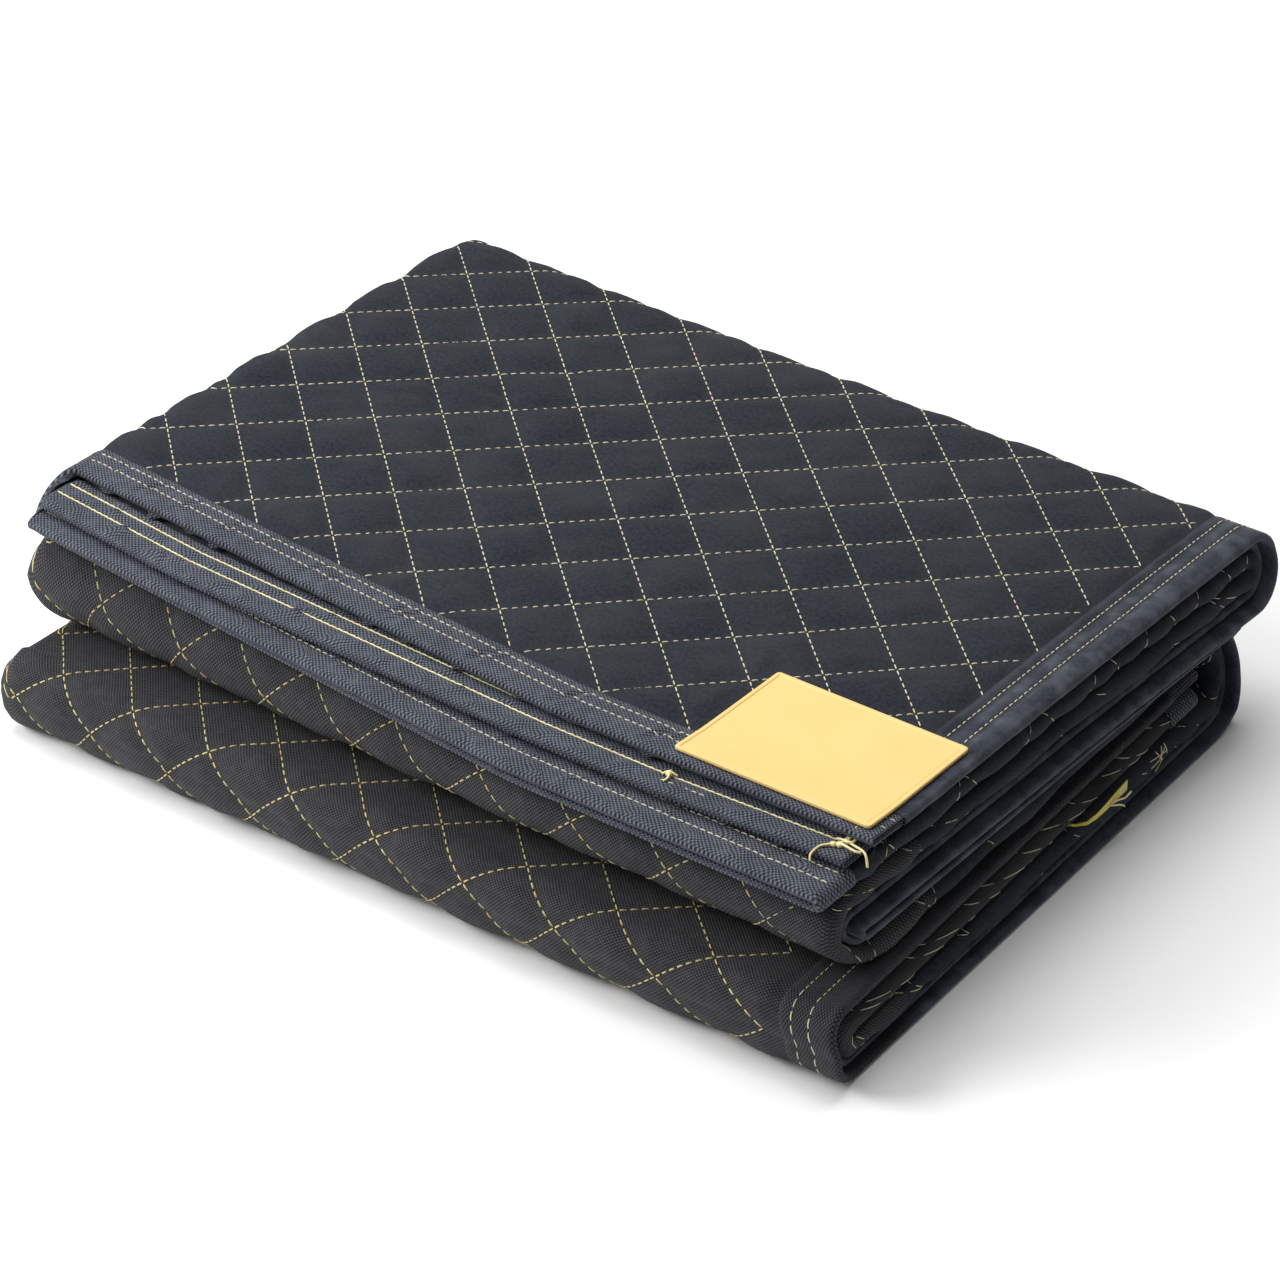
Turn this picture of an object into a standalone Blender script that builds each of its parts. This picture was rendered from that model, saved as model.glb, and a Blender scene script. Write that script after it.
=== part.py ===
"""A quilted moving blanket, folded for storage.

The blanket is halved twice across its width into a strip of four plies, and
the strip is folded into five runs that lie one on another.  A fold plan turns
a place on the flat blanket into a place in the pile: the strip's curve gives x
and the height in the strip, and the runs' curve gives y and z.  A soft lean
then moves the front and the right ends of the pile as they lie.

Metres, +Z up.  The front long edge looks along -Y.
"""
import math

import bmesh
import bpy

MM = 0.001

# The cloth and its binding
PLY = 5.9 * MM                  # height that one ply takes in the pile
CLOTH = 3.4 * MM                # padded cloth between its seams
CLOTH_EDGE = 1.8 * MM           # the same cloth where its binding squeezes it
BINDING_WIDTH = 27 * MM
BINDING_SKIN = 0.9 * MM
BINDING_FADE = 8 * MM           # the cloth swells from edge to full thickness over this
PIECE_GAP = 0.5 * MM            # between a binding and the cloth in it
EDGE_GAP = 1.0 * MM             # the same past the cloth's edge
QUILT_X = 27.3 * MM             # half a diamond along the strip
QUILT_Y = 25.7 * MM             # half a diamond along the runs
QUILT_RISE = 0.9 * MM           # the middle of a diamond over its seams
QUILT_CROSSING = (-5.2 * MM, -19.5 * MM)

# The strip: x where its plies fold or end
STRIP_LEFT = -245.5 * MM        # middle of both left folds
STRIP_RIGHT = 251 * MM          # middle of the right fold
END_PLY_1 = 258 * MM
END_PLY_2 = 252 * MM

# The runs: heights in plies, and y where they fold or end
RUN_1, RUN_2, RUN_3, RUN_4, RUN_5 = 18, 14, 10, 6, 2
FRONT_EDGE = -178 * MM
UPPER_BACK_FOLD = 163 * MM      # first run to second
UPPER_FRONT_FOLD = -157 * MM    # second run to third
LOWER_BACK_FOLD = 138 * MM      # third run to fifth, around the fourth
LOWER_FRONT_FOLD = -199 * MM    # fifth run to fourth
TUCKED_EDGE = 130 * MM

# The pile's front, level by level in millimetres: how far it moves out and
# the height that it comes to, at the left end and from LEAN_RIGHT to the right
# end.  The first run's plies fan out, so that each hem shows behind the next.
LEVEL, OUT_LEFT, HIGH_LEFT, OUT_RIGHT, HIGH_RIGHT = range(5)
FRONT_LEAN = (
    (0, 1, 0, 2, 0),
    (24, 0, 24, 3, 23),
    (47, 6, 42, 14, 45),
    (71, 11, 68, 28, 68),
    (94, 6, 92, 36, 91),            # fourth ply of the first run
    (99, 6, 97.2, 37, 96),
    (100.3, 13, 98.8, 38, 97.4),    # third ply
    (104.9, 13, 103.5, 38, 102.3),
    (106.2, 3, 104.9, 15, 103.8),   # second ply
    (110.8, 3, 109.5, 15, 108.9),
    (112.1, -20, 110.9, 6, 110.4),  # first ply
    (117, -20, 116, 6, 116),
    (121, -20, 120, 6, 120),
)
FIRST_RUN_LEVELS = (94 * MM, 117 * MM)
LEFT_ROUND = 6 * MM                 # past this the left fold turns evenly from ply to ply
# The pile's ends, level by level in millimetres: how far they step in, at the
# right end's front and back and at the left end.
RIGHT_FRONT, RIGHT_BACK, LEFT_END = 1, 2, 3
END_STEP = (
    (0, -6, 4, 4),
    (10, -9, 4, 6),
    (24, -9, 8, 7),
    (47, -4, 14, 8),
    (60, 0, 6, 3),
    (71, 2, -3, 0),
    (100, 2, 2, 0),
    (121, 0, 3, 0),
)
# The pile's height against the neat pile's, at its four corners.
SWELL_LEFT = 1.08
SWELL_RIGHT_FRONT = 1.0
SWELL_RIGHT_BACK = 0.94
LEAN_FADE = (QUILT_CROSSING[1] - 5 * QUILT_Y, QUILT_CROSSING[1] + QUILT_Y)
LEAN_RIGHT = QUILT_CROSSING[0] + 3 * QUILT_X
RIGHT_FADE = (QUILT_CROSSING[0] + 5 * QUILT_X, 240 * MM)
LEFT_FADE = (-140 * MM, -240 * MM)
SAG = 2.6 * MM                      # the top's slow rise and fall
DIP_SHARE = 0.3                     # of the sag, in waves of so many radians a metre
DIP_X, DIP_START_X = 7.0, 0.8
DIP_Y, DIP_START_Y = 12.0, 0.5
BACK_ARCH = 6.0                     # radians a metre: the back is high at its middle's ends
PILE_MIDDLE = (6.8 * MM, -20.5 * MM)  # middle of the pile's box, which is the origin

# The label and the ribbon tab
LABEL_SIZE = (108 * MM, 85 * MM)
LABEL_MIDDLE = (200 * MM, -128.5 * MM)
LABEL_THICK = 1.6 * MM
LABEL_RIM = 0.6 * MM
LABEL_RIM_WIDTH = 3 * MM
LABEL_CORNER = 2 * MM
TAB_SIZE = (24 * MM, 6 * MM, 0.8 * MM)

BINDING_OUTER = CLOTH_EDGE / 2 + PIECE_GAP + BINDING_SKIN
BINDING_INNER = CLOTH_EDGE / 2 + PIECE_GAP
FLOOR_LIFT = PLY / 2 - BINDING_OUTER     # the lowest ply's clearance before it settles
TOP_OF_PILE = 20 * PLY

MATERIALS = {
    "quilted_cloth": ((0.018, 0.021, 0.027, 1), 0.92),
    "woven_binding": ((0.030, 0.034, 0.042, 1), 0.85),
    "label_rubber": ((0.82, 0.56, 0.10, 1), 0.55),
    "tab_ribbon": ((0.75, 0.62, 0.06, 1), 0.60),
}


class Path:
    """A plane curve of straight and round stretches, read by its length."""

    def __init__(self, start, heading, pieces):
        self.pieces = []
        self.length = 0.0
        x, y = start
        for size, turn in pieces:
            # size is a straight's length or an arc's radius; turn is 0 on a straight
            run = size * abs(turn) if turn else size
            self.pieces.append((self.length, run, x, y, heading, size, turn))
            x, y, heading = self.inside(self.pieces[-1], run)
            self.length += run

    @staticmethod
    def inside(piece, along):
        _, run, x, y, heading, size, turn = piece
        if not turn:
            return x + along * math.cos(heading), y + along * math.sin(heading), heading
        side = math.copysign(1.0, turn)
        new = heading + side * along / size
        centre_x = x - side * size * math.sin(heading)
        centre_y = y + side * size * math.cos(heading)
        return (centre_x + side * size * math.sin(new),
                centre_y - side * size * math.cos(new), new)

    def at(self, distance):
        """Place and heading at a distance, going straight on past both ends."""
        if distance <= 0:
            return self.inside((0, 0, *self.pieces[0][2:5], 0, 0), distance)
        for piece in self.pieces:
            if distance <= piece[0] + piece[1] + 1e-9:
                return self.inside(piece, distance - piece[0])
        x, y, heading = self.inside(self.pieces[-1], self.pieces[-1][1])
        along = distance - self.length
        return x + along * math.cos(heading), y + along * math.sin(heading), heading

    def bends(self):
        """Start and end of every piece, with its turn."""
        return [(start, start + run, turn) for start, run, _, _, _, _, turn in self.pieces]


HALF_TURN = math.pi
STRIP = Path((END_PLY_1, 1.5 * PLY), math.pi, (
    (END_PLY_1 - STRIP_LEFT, 0),
    (1.5 * PLY, HALF_TURN),
    (STRIP_RIGHT - STRIP_LEFT, 0),
    (0.5 * PLY, HALF_TURN),
    (STRIP_RIGHT - STRIP_LEFT, 0),
    (0.5 * PLY, -HALF_TURN),
    (END_PLY_2 - STRIP_LEFT, 0),
))
RUNS = Path((FRONT_EDGE, RUN_1 * PLY), 0.0, (
    (UPPER_BACK_FOLD - FRONT_EDGE, 0),
    ((RUN_1 - RUN_2) * PLY / 2, -HALF_TURN),
    (UPPER_BACK_FOLD - UPPER_FRONT_FOLD, 0),
    ((RUN_2 - RUN_3) * PLY / 2, HALF_TURN),
    (LOWER_BACK_FOLD - UPPER_FRONT_FOLD, 0),
    ((RUN_3 - RUN_5) * PLY / 2, -HALF_TURN),
    (LOWER_BACK_FOLD - LOWER_FRONT_FOLD, 0),
    ((RUN_4 - RUN_5) * PLY / 2, -HALF_TURN),
    (TUCKED_EDGE - LOWER_FRONT_FOLD, 0),
))


def between(low, high, value):
    """Straight rise from 0 at low to 1 at high."""
    return min(max((value - low) / (high - low), 0.0), 1.0)


def row_value(table, level, column):
    """A table's column at a level, straight between its rows, in metres."""
    level = level / MM
    for lower, upper in zip(table, table[1:]):
        if level <= upper[LEVEL] or upper is table[-1]:
            part = (level - lower[LEVEL]) / (upper[LEVEL] - lower[LEVEL])
            return (lower[column] + part * (upper[column] - lower[column])) * MM
    raise ValueError("a level table needs two rows")


def left_out(x, level):
    """How far the front moves out at the left end, evenly round the first run's fold."""
    out = row_value(FRONT_LEAN, level, OUT_LEFT)
    if level > FIRST_RUN_LEVELS[0]:
        low, high = (row_value(FRONT_LEAN, value, OUT_LEFT) for value in FIRST_RUN_LEVELS)
        even = low + (high - low) * between(*FIRST_RUN_LEVELS, level)
        out += (even - out) * between(0.0, LEFT_ROUND, STRIP_LEFT - x)
    return out


def as_it_lies(x, y, z):
    """Lean, step and sag of the pile at a place of the neat pile."""
    z -= FLOOR_LIFT
    level = max(z, 0.0)
    right = (x - STRIP_LEFT) / (STRIP_RIGHT - STRIP_LEFT)
    back = (y - FRONT_EDGE) / (UPPER_BACK_FOLD - FRONT_EDGE)
    front = 1 - between(*LEAN_FADE, y)
    lean = between(STRIP_LEFT, LEAN_RIGHT, x)
    out = (1 - lean) * left_out(x, level) + lean * row_value(FRONT_LEAN, level, OUT_RIGHT)
    high = (1 - lean) * row_value(FRONT_LEAN, level, HIGH_LEFT)
    high += lean * row_value(FRONT_LEAN, level, HIGH_RIGHT)
    step = (1 - back) * row_value(END_STEP, level, RIGHT_FRONT)
    step += back * row_value(END_STEP, level, RIGHT_BACK)
    step *= between(*RIGHT_FADE, x)
    step -= row_value(END_STEP, level, LEFT_END) * (1 - between(*LEFT_FADE[::-1], x))
    dip = DIP_SHARE * math.sin(DIP_X * x + DIP_START_X) * math.sin(DIP_Y * y + DIP_START_Y)
    dip -= back * math.cos(BACK_ARCH * x)
    lift = SAG * dip * (level / TOP_OF_PILE) ** 2
    right_swell = SWELL_RIGHT_FRONT + back * (SWELL_RIGHT_BACK - SWELL_RIGHT_FRONT)
    height = level + (high - level) * front
    height *= SWELL_LEFT + right * (right_swell - SWELL_LEFT)
    return (x - step - PILE_MIDDLE[0],
            y - out * front - PILE_MIDDLE[1],
            height + lift)


def fold(along, across, off):
    """The folded place of a point of the flat blanket.

    along and across are its distances from the first ply's free end and from
    the first run's free edge, and off is its distance from the cloth's middle
    on the face that ends up outside.
    """
    x, height, heading = STRIP.at(along)
    x += off * math.sin(heading)
    height -= off * math.cos(heading)
    y, z, heading = RUNS.at(across)
    return as_it_lies(x, y - height * math.sin(heading), z + height * math.cos(heading))


def line_list(path, stops, edge_lines):
    """Distances where the mesh has a line, on a path from edge to edge.

    stops[i] is a number of even spans on piece i, or a list of distances from
    the piece's start.  edge_lines are counted inwards from both edges.
    """
    marks = []
    for (start, end, _), stop in zip(path.bends(), stops):
        if isinstance(stop, int):
            stop = [(end - start) * i / stop for i in range(stop)]
        marks += [start] + [start + value for value in stop]
    low, high = max(edge_lines), path.length - max(edge_lines)
    edges = list(edge_lines) + [path.length - value for value in edge_lines]
    inner = [value for value in marks if low + LINE_CLEAR < value < high - LINE_CLEAR]
    return sorted(set(round(value, 7) for value in inner + edges))


def stops_at(start, way, places):
    """Distances from a straight's start of places on its axis, in rising order."""
    return sorted((place - start) * way for place in places)


def crossings(crossing, pitch, low, high):
    """Places of the quilting's crossings on an axis between low and high."""
    first = math.ceil((low + LINE_CLEAR - crossing) / pitch)
    last = math.floor((high - LINE_CLEAR - crossing) / pitch)
    return [crossing + i * pitch for i in range(first, last + 1)]


LINE_CLEAR = 5 * MM             # mesh lines keep this far apart
FOLD_SHARE = 0.618              # weight of height in a diagonal's run across
EDGE_LINES = (0.0, BINDING_WIDTH, BINDING_WIDTH + BINDING_FADE)
STRIP_STOPS = (LEFT_FADE[0], LEAN_RIGHT, RIGHT_FADE[0])
RUN_STOPS = (*LEAN_FADE, 84 * MM)
SECOND_RUN_STOPS = (*RUN_STOPS, LEAN_FADE[0] + 2 * QUILT_Y, LEAN_FADE[0] + 4 * QUILT_Y)
ALONG = line_list(STRIP, (
    stops_at(END_PLY_1, -1, crossings(QUILT_CROSSING[0], QUILT_X, STRIP_LEFT, END_PLY_1)), 6,
    stops_at(STRIP_LEFT, 1, STRIP_STOPS), 4,
    stops_at(STRIP_RIGHT, -1, STRIP_STOPS), 4,
    stops_at(STRIP_LEFT, 1, STRIP_STOPS)), EDGE_LINES)
ACROSS = line_list(RUNS, (
    stops_at(FRONT_EDGE, 1, crossings(QUILT_CROSSING[1], QUILT_Y, FRONT_EDGE, UPPER_BACK_FOLD)), 5,
    stops_at(UPPER_BACK_FOLD, -1, SECOND_RUN_STOPS), 6,
    stops_at(UPPER_FRONT_FOLD, 1, RUN_STOPS), 6,
    stops_at(LOWER_BACK_FOLD, -1, RUN_STOPS), 7,
    stops_at(LOWER_FRONT_FOLD, 1, RUN_STOPS)), EDGE_LINES)

RUN_BENDS = RUNS.bends()
LEFT_FOLD_START, LEFT_FOLD_END, _ = STRIP.bends()[1]
FLOOR_RUN = RUN_BENDS[6][:2]            # the fifth run, whose first ply lies on the floor
OUTSIDE_PIECES = (0, 1, 5, 7)           # first run, both back folds, lower front fold
LABEL_CLEAR = 6 * MM                    # the cloth lies flat this far around the label


def first_ply_length(across):
    """Length from the front edge along the first ply, which is longer on a fold's outside."""
    length = 0.0
    for start, end, turn in RUN_BENDS:
        run = min(max(across - start, 0.0), end - start)
        bend = turn / (end - start) if turn else 0.0
        length += run * (1 - bend * 1.5 * PLY)
    return length


def under_label(x, y):
    return (abs(x - LABEL_MIDDLE[0]) < LABEL_SIZE[0] / 2 + LABEL_CLEAR
            and abs(y - LABEL_MIDDLE[1]) < LABEL_SIZE[1] / 2 + LABEL_CLEAR)


def shows_quilting(along, across):
    """True on the first ply where it is the outside of the pile and clear of the floor."""
    piece = next(i for i, (_, end, _) in enumerate(RUN_BENDS) if across <= end + LINE_CLEAR / 100)
    return along <= LEFT_FOLD_START + LINE_CLEAR and piece in OUTSIDE_PIECES


def quilt_place(along, across):
    """Column and row of a place in the quilting, counted in half diamonds."""
    x = END_PLY_1 - along
    y = FRONT_EDGE + first_ply_length(across)
    return (x - QUILT_CROSSING[0]) / QUILT_X, (y - QUILT_CROSSING[1]) / QUILT_Y


def quilting(along, across):
    """Rise of a diamond on the cloth's outer face, 0 on its seams."""
    if not shows_quilting(along, across) or under_label(END_PLY_1 - along, FRONT_EDGE + across):
        return 0.0
    column, row = quilt_place(along, across)
    ridge = math.sin(math.pi * (column + row) / 2) * math.sin(math.pi * (column - row) / 2)
    return QUILT_RISE * abs(ridge) ** 0.6


def cloth_offsets(along, across):
    """How far the outer and the inner face lie from the cloth's middle."""
    edge = min(along, STRIP.length - along, across, RUNS.length - across)
    full = between(BINDING_WIDTH, BINDING_WIDTH + BINDING_FADE, edge)
    half = (CLOTH_EDGE + full * (CLOTH - CLOTH_EDGE)) / 2
    on_floor = FLOOR_RUN[0] - LINE_CLEAR / 100 <= across <= FLOOR_RUN[1] + LINE_CLEAR / 100
    if on_floor and along <= LEFT_FOLD_START + LINE_CLEAR / 100:
        return half + full * (BINDING_OUTER - CLOTH / 2), -half
    return half + full * quilting(along, across), -half


def add_object(name, material, points, faces, smooth_angle=None):
    mesh = bpy.data.meshes.new(name)
    mesh.from_pydata(points, [], faces)
    shape = bmesh.new()
    shape.from_mesh(mesh)
    bmesh.ops.triangulate(shape, faces=shape.faces[:])
    bmesh.ops.recalc_face_normals(shape, faces=shape.faces[:])
    shape.to_mesh(mesh)
    shape.free()
    mesh.shade_smooth()
    if smooth_angle:
        mesh.set_sharp_from_angle(angle=smooth_angle)
    mesh.materials.append(bpy.data.materials[material])
    thing = bpy.data.objects.new(name, mesh)
    bpy.context.scene.collection.objects.link(thing)
    return thing


def rises(points, a, b):
    """Product of a diagonal's run along X and its run across, level or round a fold."""
    run_x, run_y, run_z = (points[b][axis] - points[a][axis] for axis in range(3))
    return run_x * (run_y + FOLD_SHARE * run_z)


def split(points, corners, turned=None):
    """Two triangles of a quad.

    Plies that lie on each other are split the same way, so that a twisted
    quad doesn't come near the next ply's, unless turned says which diagonal.
    """
    if turned is None:
        turned = rises(points, corners[0], corners[2]) < rises(points, corners[1], corners[3])
    a, b, c, d = corners[1:] + corners[:1] if turned else corners
    return [(a, b, c), (a, c, d)]


def sheet_faces(points, columns, rows, crossing=None):
    """Faces of a closed sheet whose points are two stacked grids, rim included.

    crossing(i, j) tells whether a seam crossing lies at a grid place, or is
    None where the cloth shows no quilting; a seam is the edge of two triangles.
    """
    top = lambda i, j: i * rows + j
    low = lambda i, j: columns * rows + i * rows + j
    faces = []
    for i in range(columns - 1):
        for j in range(rows - 1):
            quad = ((i, j), (i + 1, j), (i + 1, j + 1), (i, j + 1))
            seam = crossing(i, j) if crossing else None
            faces += split(points, [top(*place) for place in quad], None if seam is None else not seam)
            faces += [face[::-1] for face in split(points, [low(*place) for place in quad])]
    rim = [(i, 0) for i in range(columns)] + [(columns - 1, j) for j in range(1, rows)]
    rim += [(i, rows - 1) for i in range(columns - 2, -1, -1)] + [(0, j) for j in range(rows - 2, 0, -1)]
    for here, there in zip(rim, rim[1:] + rim[:1]):
        faces.append([top(*there), top(*here), low(*here), low(*there)])
    return faces


def add_cloth():
    outer, inner = [], []
    for along in ALONG:
        for across in ACROSS:
            face, back = cloth_offsets(along, across)
            outer.append(fold(along, across, face))
            inner.append(fold(along, across, back))

    def crossing(i, j):
        if not shows_quilting(ALONG[i + 1], ACROSS[j + 1]):
            return None
        column, row = quilt_place(ALONG[i], ACROSS[j])
        return round(column + row) % 2 == 0

    faces = sheet_faces(outer + inner, len(ALONG), len(ACROSS), crossing)
    return add_object("quilted_cloth", "quilted_cloth", outer + inner, faces)


def binding_section():
    """Section of a folded binding: distance inwards from the cloth's edge, and off."""
    tip = -(EDGE_GAP + BINDING_SKIN)
    outer = [(BINDING_WIDTH, BINDING_OUTER), (0.0, BINDING_OUTER), (0.8 * tip, BINDING_OUTER * 0.6)]
    inner = [(BINDING_WIDTH, BINDING_INNER), (-EDGE_GAP, BINDING_INNER)]
    flip = lambda points: [(inwards, -off) for inwards, off in reversed(points)]
    return outer + flip(outer) + inner_back(inner)


def inner_back(inner):
    """The section's inner side, run back from the lower lip to the upper."""
    return [(inwards, -off) for inwards, off in inner] + list(reversed(inner))


def add_binding(name, stations, place):
    """A binding along an edge; place(station, inwards, off) gives a point."""
    section = binding_section()
    size = len(section)
    points = [place(station, inwards, off) for station in stations for inwards, off in section]
    faces = [list(range(size)), [(len(stations) - 1) * size + i for i in reversed(range(size))]]
    for row in range(len(stations) - 1):
        for i in range(size):
            a, b = row * size + i, row * size + (i + 1) % size
            faces += split(points, [a, b, b + size, a + size])
    return add_object(name, "woven_binding", points, faces)


def add_bindings():
    inset = BINDING_WIDTH + PIECE_GAP
    inner_stations = [inset] + [value for value in ACROSS if BINDING_WIDTH < value < RUNS.length - inset]
    inner_stations.append(RUNS.length - inset)
    inner_stations = sorted(set(inner_stations))
    add_binding("front_binding", ALONG, lambda s, inwards, off: fold(s, inwards, off))
    add_binding("tucked_binding", ALONG, lambda s, inwards, off: fold(s, RUNS.length - inwards, off))
    add_binding("top_end_binding", inner_stations, lambda s, inwards, off: fold(inwards, s, off))
    add_binding("inner_end_binding", inner_stations,
                lambda s, inwards, off: fold(STRIP.length - inwards, s, off))


def add_label():
    """A moulded plate with a raised rim, sewn flat over the bound corner."""
    def stops(middle, size, extra=()):
        low, high = middle - size / 2, middle + size / 2
        inner_low, inner_high = low + LABEL_RIM_WIDTH, high - LABEL_RIM_WIDTH
        spans = 4
        even = [inner_low + (inner_high - inner_low) * i / spans for i in range(spans + 1)]
        found = [low, inner_low - LABEL_RIM] + even + [inner_high + LABEL_RIM, high]
        return sorted(found + [value for value in extra if inner_low < value < inner_high])

    xs = stops(LABEL_MIDDLE[0], LABEL_SIZE[0])
    ys = stops(LABEL_MIDDLE[1], LABEL_SIZE[1], extra=LEAN_FADE[:1])
    underside = BINDING_OUTER + PIECE_GAP
    top, bottom = [], []
    for i, x in enumerate(xs):
        for j, y in enumerate(ys):
            in_rim = i in (0, 1, len(xs) - 2, len(xs) - 1) or j in (0, 1, len(ys) - 2, len(ys) - 1)
            if i in (0, len(xs) - 1) and j in (0, len(ys) - 1):
                x += math.copysign(LABEL_CORNER / 2, LABEL_MIDDLE[0] - x)
                y += math.copysign(LABEL_CORNER / 2, LABEL_MIDDLE[1] - y)
            rise = LABEL_THICK + (LABEL_RIM if in_rim else 0.0)
            place = END_PLY_1 - x, y - FRONT_EDGE
            top.append(fold(*place, underside + rise))
            bottom.append(fold(*place, underside))
            x = xs[i]
    faces = sheet_faces(top + bottom, len(xs), len(ys))
    return add_object("corner_label", "label_rubber", top + bottom, faces, math.radians(30))


def add_tab():
    """A loose end of ribbon that comes out between the two lowest runs."""
    long, wide, thick = TAB_SIZE
    route = ((-14, 46), (0, 44), (9, 38), (10, 22), (9, 4))      # out of the end, and along it
    droop = (0, 0, 1.5, 3, 3)
    middle = END_PLY_1
    level = (RUN_4 + RUN_5) * PLY / 2
    points = []
    for index, (out, along_y) in enumerate(route):
        before = route[max(index - 1, 0)]
        after = route[min(index + 1, len(route) - 1)]
        run = math.hypot(after[0] - before[0], after[1] - before[1])
        side_x, side_y = (after[1] - before[1]) / run, -(after[0] - before[0]) / run
        for side in (-1, 1):
            for lift in (-1, 1):
                x, y, z = as_it_lies(middle + out * MM, along_y * MM, level)
                points.append((x + side * side_x * wide / 2, y + side * side_y * wide / 2,
                               z + droop[index] * MM + lift * thick / 2))
    ring = (0, 1, 3, 2)
    faces = [list(ring), [len(points) - 4 + i for i in reversed(ring)]]
    for row in range(len(route) - 1):
        for a, b in zip(ring, ring[1:] + ring[:1]):
            faces.append([4 * row + a, 4 * row + b, 4 * row + 4 + b, 4 * row + 4 + a])
    return add_object("ribbon_tab", "tab_ribbon", points, faces)


def add_materials():
    for name, (colour, roughness) in MATERIALS.items():
        material = bpy.data.materials.new(name)
        material.use_nodes = True
        shader = material.node_tree.nodes["Principled BSDF"]
        shader.inputs["Base Color"].default_value = colour
        shader.inputs["Roughness"].default_value = roughness
        shader.inputs["Metallic"].default_value = 0.0
        material.diffuse_color = colour


def main():
    for thing in list(bpy.data.objects):
        bpy.data.objects.remove(thing)
    add_materials()
    add_cloth()
    add_bindings()
    add_label()
    add_tab()


main()
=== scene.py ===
"""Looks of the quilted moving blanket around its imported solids.

The fold plan is the one that the solids follow: a place on the flat blanket
becomes a place in the pile.  The cloth, its bindings, its quilting and every
stitch are laid out flat, in metres, and then folded by it.
"""

import math

import bmesh
import bpy
import numpy as np
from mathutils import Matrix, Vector


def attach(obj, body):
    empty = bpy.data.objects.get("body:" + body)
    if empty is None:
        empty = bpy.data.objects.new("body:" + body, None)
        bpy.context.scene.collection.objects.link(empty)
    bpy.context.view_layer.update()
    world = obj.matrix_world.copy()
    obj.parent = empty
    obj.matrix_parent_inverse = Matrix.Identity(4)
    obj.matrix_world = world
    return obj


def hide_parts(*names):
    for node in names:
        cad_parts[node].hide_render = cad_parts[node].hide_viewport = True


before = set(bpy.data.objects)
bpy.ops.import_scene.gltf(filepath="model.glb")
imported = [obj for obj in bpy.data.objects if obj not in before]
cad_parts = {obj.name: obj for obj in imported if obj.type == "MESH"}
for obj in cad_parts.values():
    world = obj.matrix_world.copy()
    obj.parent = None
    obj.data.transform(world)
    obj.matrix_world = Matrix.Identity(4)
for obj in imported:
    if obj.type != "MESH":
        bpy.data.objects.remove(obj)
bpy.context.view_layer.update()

MM = 0.001
HALF_TURN = math.pi

# The cloth and its binding, as in the solids
PLY = 5.9 * MM
CLOTH = 3.4 * MM
CLOTH_EDGE = 1.8 * MM
BINDING_WIDTH = 27 * MM
BINDING_SKIN = 0.9 * MM
BINDING_FADE = 8 * MM
PIECE_GAP = 0.5 * MM
EDGE_GAP = 1.0 * MM
BINDING_OUTER = CLOTH_EDGE / 2 + PIECE_GAP + BINDING_SKIN
BINDING_INNER = CLOTH_EDGE / 2 + PIECE_GAP
STITCH_ROWS = (20.5 * MM, 11.2 * MM)        # from the edge inwards

# The strip and the runs
STRIP_LEFT = -245.5 * MM
STRIP_RIGHT = 251 * MM
END_PLY_1 = 258 * MM
END_PLY_2 = 252 * MM
RUN_1, RUN_2, RUN_3, RUN_4, RUN_5 = 18, 14, 10, 6, 2
FRONT_EDGE = -178 * MM
UPPER_BACK_FOLD = 163 * MM
UPPER_FRONT_FOLD = -157 * MM
LOWER_BACK_FOLD = 138 * MM
LOWER_FRONT_FOLD = -199 * MM
TUCKED_EDGE = 130 * MM

# The quilting: a crossing, and the steps to the next ones each way
CROSSING = (-5.2 * MM, -19.5 * MM)
STEP_M = (27.3 * MM, -1.5 * MM)
STEP_N = (-1.4 * MM, 25.7 * MM)
SEAM_SPACING = 37.4 * MM        # between parallel seams
CHANNEL = 5.5 * MM              # a seam's hollow reaches this far
PILLOW = 1.3 * MM               # a diamond's middle over its seams
CROWN = 0.5 * MM                # its slow rise inside that
TOP_FULLNESS = 0.45             # the pillows lie freer on the top, and rise this much more

# How the pile lies, level by level in millimetres, as in the solids
FRONT_LEAN = np.array((
    (0, 1, 0, 2, 0),
    (24, 0, 24, 3, 23),
    (47, 6, 42, 14, 45),
    (71, 11, 68, 28, 68),
    (94, 6, 92, 36, 91),
    (99, 6, 97.2, 37, 96),
    (100.3, 13, 98.8, 38, 97.4),
    (104.9, 13, 103.5, 38, 102.3),
    (106.2, 3, 104.9, 15, 103.8),
    (110.8, 3, 109.5, 15, 108.9),
    (112.1, -20, 110.9, 6, 110.4),
    (117, -20, 116, 6, 116),
    (121, -20, 120, 6, 120),
)) * MM
LEVEL, OUT_LEFT, HIGH_LEFT, OUT_RIGHT, HIGH_RIGHT = range(5)
FIRST_RUN_LEVELS = (94 * MM, 117 * MM)
LEFT_ROUND = 6 * MM
DRAWN_AT = np.array((-245, 70, 150, 250)) * MM      # the top edge is drawn in at these x
DRAWN = np.array((4.5, 3.5, 3.2, 4)) * MM
RAISED = np.array((0, 0, 1.2, 0.8)) * MM            # and stands up, stiff with the label
DRAWN_LEVELS = (110.8 * MM, 112.1 * MM)
PUSHED_AT = np.array((-245, -150, 150, 250)) * MM   # the edge below it is pushed out at these x
PUSHED = np.array((0, 6, 4.5, 0)) * MM
PUSHED_LEVELS = np.array((104.9, 106.2, 110.8, 112.1)) * MM
PUSHED_SHARE = (0, 1, 1, 0)
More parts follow.
